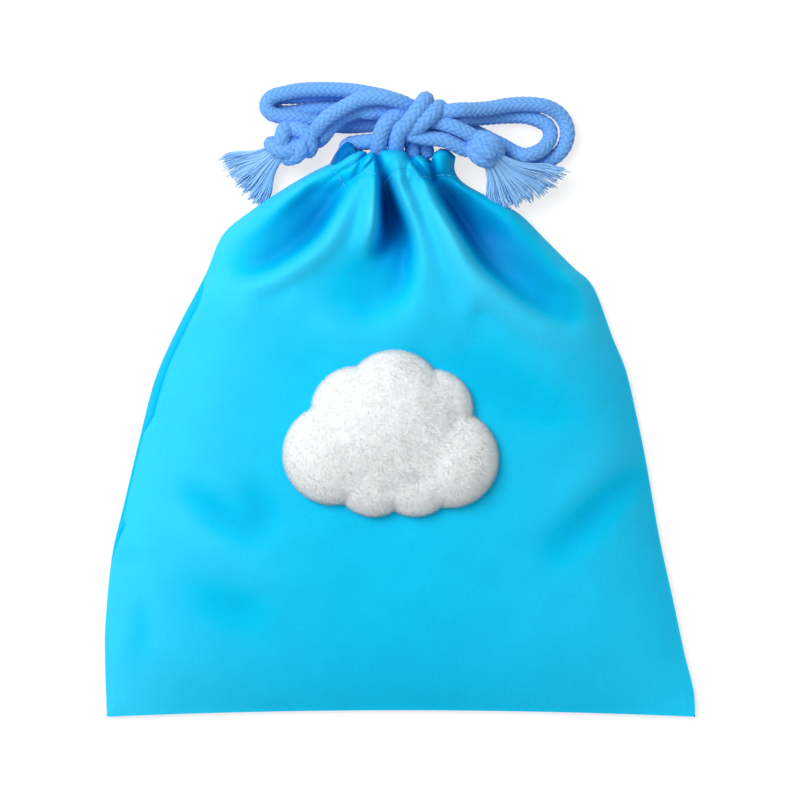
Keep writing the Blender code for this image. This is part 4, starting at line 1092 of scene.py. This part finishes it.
def make_back(settings, finish):
    """The back panel, which lies on the floor and comes round the left side up to the seam."""
    columns, rows = BACK_GRID
    share, v = np.meshgrid(np.linspace(1, 0, STRIP_COLUMNS), rows_up(rows))
    _, _, width = panel_point(share, v)
    strip = strip_width(v)
    reach = np.where(strip > 0, strip + STRIP_TUCK, 0)
    x, y, front, _ = cloth_heights(share * reach / width, v, settings)
    under = fall_off(1 - share, 0.35) * STRIP_UNDER * np.clip(strip / MM, 0, 1)
    bulge = STRIP_BULGE * np.sin(math.pi * share) * np.clip(strip / (2 * MM), 0, 1)
    strip_points = np.stack([x, y, front - under + bulge], axis=-1)
    across, v = np.meshgrid(crowded(columns, BACK_CROWDING), rows_up(rows))
    x, y, front, back = cloth_heights(across, v, settings)
    wrinkles = BACK_WRINKLE * np.clip(soft_noise(x, y, BACK_WRINKLE_SIZE, SEEDS["back"]), 0, 1)
    inside = np.minimum(np.minimum(across, 1 - across) * BACK_CALM, 1) * np.minimum(v * BACK_CALM, 1)
    inside = inside * (v < LAST_ROW)
    rim = (across == 0) | (across == 1) | (v == 0) | (v == 1)
    back = np.where(rim, front, np.minimum(back + wrinkles * inside, front - LEAST_GAP))
    standing = np.array(BACK_STANDING) * MM
    y = y + np.interp(x, standing[:, 0], standing[:, 1]) * fall_off((1 - v) * BAG_HEIGHT, CHANNEL_HEIGHT)
    back_points = np.stack([x, y, back], axis=-1)
    points = np.concatenate([strip_points, back_points[:, 1:]], axis=1)
    faces = grid_faces(rows, STRIP_COLUMNS + columns - 1).tolist()
    # Painted shade: the back panel is painted a little darker than level cloth.
    panel = make_piece("back_panel", points, faces, finish, tone=np.full(points.shape[:2], BACK_PAINTED_SHADE))
    return panel


def make_back_lobe(settings, finish):
    """The back panel's last gathered lobe, which stands out past the front panel and over the cords there."""
    columns, rows = BACK_LOBE_GRID
    edge = smooth_route(np.array(BACK_LOBE_EDGE) * MM, rows)
    root = smooth_route(np.array(BACK_LOBE_ROOT) * MM, rows)
    u, v = panel_shares(root[:, 0], root[:, 1])
    _, _, front, _ = cloth_heights(u, v, settings)
    root = np.column_stack([root, front - BACK_LOBE_TUCK])
    across = np.linspace(0, 1, columns)[None, :, None]
    points = edge[:, None, :] * (1 - across) + root[:, None, :] * across
    points[..., 2] += BACK_LOBE_PUFF * np.sin(math.pi * across[..., 0]) * np.ones((rows, 1))
    points[:, 0, 2] -= BACK_LOBE_TUCK
    # Painted shade: the lobe is painted a deep blue.
    lobe = make_piece("back_lobe", points, grid_faces(rows, columns).tolist(), finish,
                      tone=np.full((rows, columns), BACK_LOBE_PAINTED_SHADE))
    return lobe


def make_stitches(settings, finish):
    """The lockstitches that hold the channel's hem, one short thread after another over the gathers."""
    arch = np.sin(np.linspace(0, math.pi, STITCH_RINGS))
    paths = []
    for stitched in STITCH_LINES:
        line = smooth_route(np.array(stitched) * MM, STITCH_SAMPLES)
        u, v = panel_shares(line[:, 0], line[:, 1])
        _, _, front, _ = cloth_heights(u, v, settings)
        line = np.column_stack([line, front + STITCH_SEAT])
        run = run_lengths(line)
        starts = np.arange(0, run[-1] - STITCH_LENGTH, STITCH_LENGTH + STITCH_GAP)
        steps = starts[:, None] + np.linspace(0, STITCH_LENGTH, STITCH_RINGS)[None, :]
        paths.append(np.stack([np.interp(steps, run, line[:, k]) for k in range(3)], axis=-1))
    paths = np.concatenate(paths)
    paths[..., 2] += (STITCH_ARCH * arch - STITCH_SINK) * MM
    width = THREAD_RADIUS * (THREAD_END + (1 - THREAD_END) * np.sqrt(arch))
    radii = np.broadcast_to(width, paths.shape[:2])
    points, faces = thin_yarns(paths, radii, THREAD_SPOKES)
    stitches = make_piece("channel_stitches", points, faces, finish)
    return stitches


def panel_shares(x, y):
    """u across and v up of the panel at x and y."""
    u = np.full_like(x, 0.5)
    v = y / BAG_HEIGHT + 0.5
    for _ in range(30):
        at_x, at_y, width = panel_point(u, v)
        u = np.clip(u + (x - at_x) / width, 0, 1)
        v = np.clip(v + 0.8 * (y - at_y) / BAG_HEIGHT, 0, 1)
    return u, v


def puff_height(x, y):
    """Height of the cloud over its rim at x and y from its centre, 0 outside."""
    total = np.zeros_like(x)
    for (middle_x, middle_y), radius in CLOUD_PUFFS:
        away = (x - middle_x) ** 2 + (y - middle_y) ** 2
        total = total + (CLOUD_PUFF * np.sqrt(np.clip(radius ** 2 - away, 0, None))) ** PUFF_BLEND
    return total ** (1 / PUFF_BLEND)


def cloud_reaches(angles):
    """Distances from the cloud's centre to its outline."""
    steps = np.linspace(0, CLOUD_SEARCH, CLOUD_SEARCH_STEPS)[None, :]
    inside = np.zeros((len(angles), steps.shape[1]), bool)
    for (middle_x, middle_y), radius in CLOUD_PUFFS:
        gap_x = steps * np.cos(angles)[:, None] - middle_x
        gap_y = steps * np.sin(angles)[:, None] - middle_y
        inside |= gap_x ** 2 + gap_y ** 2 < radius ** 2
    return (steps * inside).max(axis=1)


def make_cloud(settings, cloth, finish):
    """The plush cloud: a puffed skin sewn down at its rim, with a short pile of fibres all over it."""
    spokes, rings = CLOUD_GRID
    angles = np.arange(spokes) * 2 * math.pi / spokes
    reaches = cloud_reaches(angles)
    spread = np.sin(np.linspace(0, 1, rings) * math.pi / 2)[:, None]
    spread[0] = CLOUD_MIDDLE
    x = spread * reaches * np.cos(angles)
    y = spread * reaches * np.sin(angles)
    u, v = panel_shares(CLOUD_CENTRE[0] + x, CLOUD_CENTRE[1] + y)
    _, _, front, _ = cloth_heights(u, v, cloth)
    puffed = puff_height(x, y) + CLOUD_RIM_HEIGHT
    puffed += CLOUD_UNEVEN * soft_noise(x, y, CLOUD_UNEVEN_SIZE, SEEDS["cloud"])
    puffed[-1] = -CLOUD_TUCK
    points = np.stack([CLOUD_CENTRE[0] + x, CLOUD_CENTRE[1] + y, front + puffed], axis=-1)
    grid = grid_faces(rings, spokes, closed=True)
    faces = [tuple(face)[::-1] for face in grid.tolist()]
    skin = points.reshape(-1, 3)
    faces.append(tuple(range(spokes)))
    fibres, fibre_faces = pile_fibres(skin, grid, settings)
    faces.extend(map(tuple, (fibre_faces + len(skin)).tolist()))
    cloud = make_piece("plush_cloud", np.vstack([skin, fibres]), faces, finish)
    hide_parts("plush_motif")
    return cloud


def pile_fibres(skin, faces, settings):
    """Short tapered fibres rooted over a skin's faces, leaning a little in tufts: their points and faces."""
    chance = np.random.default_rng(SEEDS["pile"])
    corners = skin[faces]
    across = np.cross(corners[:, 2] - corners[:, 0], corners[:, 3] - corners[:, 1])
    area = np.linalg.norm(across, axis=1)
    outward = -across / np.maximum(area, 1e-12)[:, None]
    outward *= np.where(outward[:, 2:] < 0, -1, 1)
    pick = chance.choice(len(faces), settings.fibres, p=area / area.sum())
    s, t = chance.uniform(0, 1, (2, settings.fibres, 1))
    chosen = corners[pick]
    root = ((1 - s) * (1 - t) * chosen[:, 0] + s * (1 - t) * chosen[:, 1]
            + s * t * chosen[:, 2] + (1 - s) * t * chosen[:, 3])
    lean = np.stack([soft_noise(root[:, 0], root[:, 1], LEAN_SIZE, seed) for seed in SEEDS["lean"]], axis=-1)
    scatter = chance.normal(0, FIBRE_SCATTER, (settings.fibres, 3))
    scatter[:, :2] += FIBRE_LEAN * lean
    direction = outward[pick] + scatter
    direction /= np.linalg.norm(direction, axis=1)[:, None]
    length = settings.pile_length * chance.uniform(*FIBRE_LENGTHS, (settings.fibres, 1))
    side = np.cross(direction, chance.normal(0, 1, (settings.fibres, 3)))
    side /= np.linalg.norm(side, axis=1)[:, None]
    other = np.cross(direction, side)
    base = [root + FIBRE_THICKNESS * (math.cos(a) * side + math.sin(a) * other) for a in FIBRE_CORNERS]
    tip = root + direction * length
    points = np.stack([*base, tip], axis=1).reshape(-1, 3)
    start = 4 * np.arange(settings.fibres)[:, None, None]
    faces = (np.array([[0, 1, 3], [1, 2, 3], [2, 0, 3]])[None] + start).reshape(-1, 3)
    return points, faces


class PouchStageOperator(bpy.types.Operator):
    """Makes the floor, the lamp, the white surroundings and the camera over the pouch"""

    bl_idname = "pouch.make_stage"
    bl_label = "Stage"

    def execute(self, context):
        settings = context.scene.pouch_stage
        scene = context.scene
        half = settings.floor_size / 2
        mesh = bpy.data.meshes.new("floor")
        corners = [(-half, -half), (half, -half), (half, half), (-half, half)]
        mesh.from_pydata([(x, y, -FLOOR_DROP) for x, y in corners], [], [(0, 1, 2, 3)])
        mesh.materials.append(white_paper_floor())
        floor = bpy.data.objects.new("floor", mesh)
        scene.collection.objects.link(floor)
        self.make_lamp(scene, "key_lamp", KEY_PLACE, KEY_SIZE, settings.key_power)
        self.make_surroundings(scene, settings)
        lens = bpy.data.cameras.new("camera")
        lens.sensor_width = SENSOR_WIDTH
        lens.lens = SENSOR_WIDTH * CAMERA_HEIGHT / PICTURE_WIDTH
        camera = bpy.data.objects.new("camera", lens)
        camera.location = (*PICTURE_MIDDLE, CAMERA_HEIGHT)
        scene.collection.objects.link(camera)
        scene.camera = camera
        scene.view_settings.view_transform = "Standard"
        return {"FINISHED"}

    def make_lamp(self, scene, name, place, size, power):
        """A soft square lamp that faces the pouch."""
        light = bpy.data.lights.new(name, "AREA")
        light.size = size
        light.energy = power
        lamp = bpy.data.objects.new(name, light)
        lamp.location = place
        lamp.rotation_euler = (-Vector(place)).to_track_quat("-Z", "Y").to_euler()
        scene.collection.objects.link(lamp)

    def make_surroundings(self, scene, settings):
        """White all round: at its own strength as light, and full white where it is seen."""
        world = bpy.data.worlds.new("white_surroundings")
        world.use_nodes = True
        scene.world = world
        tree = world.node_tree
        strength = add_node(tree, "ShaderNodeMapRange", {"To Min": settings.sky_strength, "To Max": 1.0},
                            {"Value": seen_rays(tree)})
        background = tree.nodes["Background"]
        background.inputs["Color"].default_value = (1, 1, 1, 1)
        tree.links.new(strength.outputs["Result"], background.inputs["Strength"])


class PouchCordsOperator(bpy.types.Operator):
    """Makes the four strands of the two drawcords, with the bow's knot, the end knots and the tassels"""

    bl_idname = "pouch.make_cords"
    bl_label = "Cords, knots and tassels"

    def execute(self, context):
        settings = context.scene.pouch_cord
        finish, frayed = braided_cotton(settings), frayed_cotton(settings)
        bow = make_knot("bow_wraps", BOW_WRAPS, WRAP_PLUMPNESS, settings, finish, "bow_knot")
        left_knot = make_knot("left_end_knot", LEFT_KNOT_STRANDS, END_KNOT_PLUMPNESS, settings, finish,
                              "end_knot_left")
        right_knot = make_knot("right_end_knot", RIGHT_KNOT_STRANDS, END_KNOT_PLUMPNESS, settings, finish,
                               "end_knot_right")
        left_tassel = make_tassel("tassel_left", settings, frayed)
        right_tassel = make_tassel("tassel_right", settings, frayed)
        strands = [
            ("left_cord_outer", [bow, left_knot, left_tassel],
             ["exit_left_1", "loop_right_outer", "tail_left_upper"]),
            ("left_cord_inner", [], ["exit_left_2", "loop_right_inner", "tail_left_lower"]),
            ("right_cord_outer", [right_knot, right_tassel], ["loop_left_outer", "tail_right_upper"]),
            ("right_cord_inner", [], ["loop_left_inner", "tail_right_lower"]),
        ]
        for name, carried, nodes in strands:
            route = np.array(ROUTES[name]) * MM
            points, faces, crowns, centres = braided_tube(route, settings, STRAND_PLUMPNESS)
            strand = make_piece(name, points, faces, finish, crowns)
            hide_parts(*nodes)
        return {"FINISHED"}


class PouchClothOperator(bpy.types.Operator):
    """Makes the front and back panels and the stitches of the channel"""

    bl_idname = "pouch.make_cloth"
    bl_label = "Cloth panels"

    def execute(self, context):
        settings = context.scene.pouch_cloth
        finish = woven_polyester(settings)
        make_front(settings, finish)
        make_back(settings, finish)
        make_back_lobe(settings, finish)
        make_stitches(settings, sewing_thread())
        return {"FINISHED"}


class PouchPlushOperator(bpy.types.Operator):
    """Makes the plush cloud sewn on the front"""

    bl_idname = "pouch.make_plush"
    bl_label = "Plush cloud"

    def execute(self, context):
        settings = context.scene.pouch_plush
        make_cloud(settings, context.scene.pouch_cloth, short_pile_plush(settings))
        return {"FINISHED"}


class PouchPanel(bpy.types.Panel):
    """The pouch's settings and steps in the 3D view's sidebar."""

    bl_idname = "VIEW3D_PT_pouch"
    bl_label = "Drawstring pouch"
    bl_space_type = "VIEW_3D"
    bl_region_type = "UI"
    bl_category = "Pouch"

    def draw(self, context):
        for name, operator in STEPS:
            settings = getattr(context.scene, name)
            for key in settings.bl_rna.properties.keys():
                if key not in ("rna_type", "name"):
                    self.layout.prop(settings, key)
            self.layout.operator(operator.bl_idname)


STEPS = [("pouch_stage", PouchStageOperator), ("pouch_cord", PouchCordsOperator),
         ("pouch_cloth", PouchClothOperator), ("pouch_plush", PouchPlushOperator)]
GROUPS = {"pouch_stage": PouchStageSettings, "pouch_cord": PouchCordSettings,
          "pouch_cloth": PouchClothSettings, "pouch_plush": PouchPlushSettings}
CLASSES = [*GROUPS.values(), *(operator for _, operator in STEPS), PouchPanel]


def register():
    """Registers the settings, the operators and the panel."""
    for kind in CLASSES:
        bpy.utils.register_class(kind)
    for name, group in GROUPS.items():
        setattr(bpy.types.Scene, name, bpy.props.PointerProperty(type=group))


def unregister():
    """Removes what register added."""
    for name in GROUPS:
        delattr(bpy.types.Scene, name)
    for kind in reversed(CLASSES):
        bpy.utils.unregister_class(kind)


def main():
    """Makes every piece in order."""
    register()
    bpy.ops.pouch.make_stage()
    bpy.ops.pouch.make_cords()
    bpy.ops.pouch.make_cloth()
    bpy.ops.pouch.make_plush()


if __name__ == "__main__":
    main()
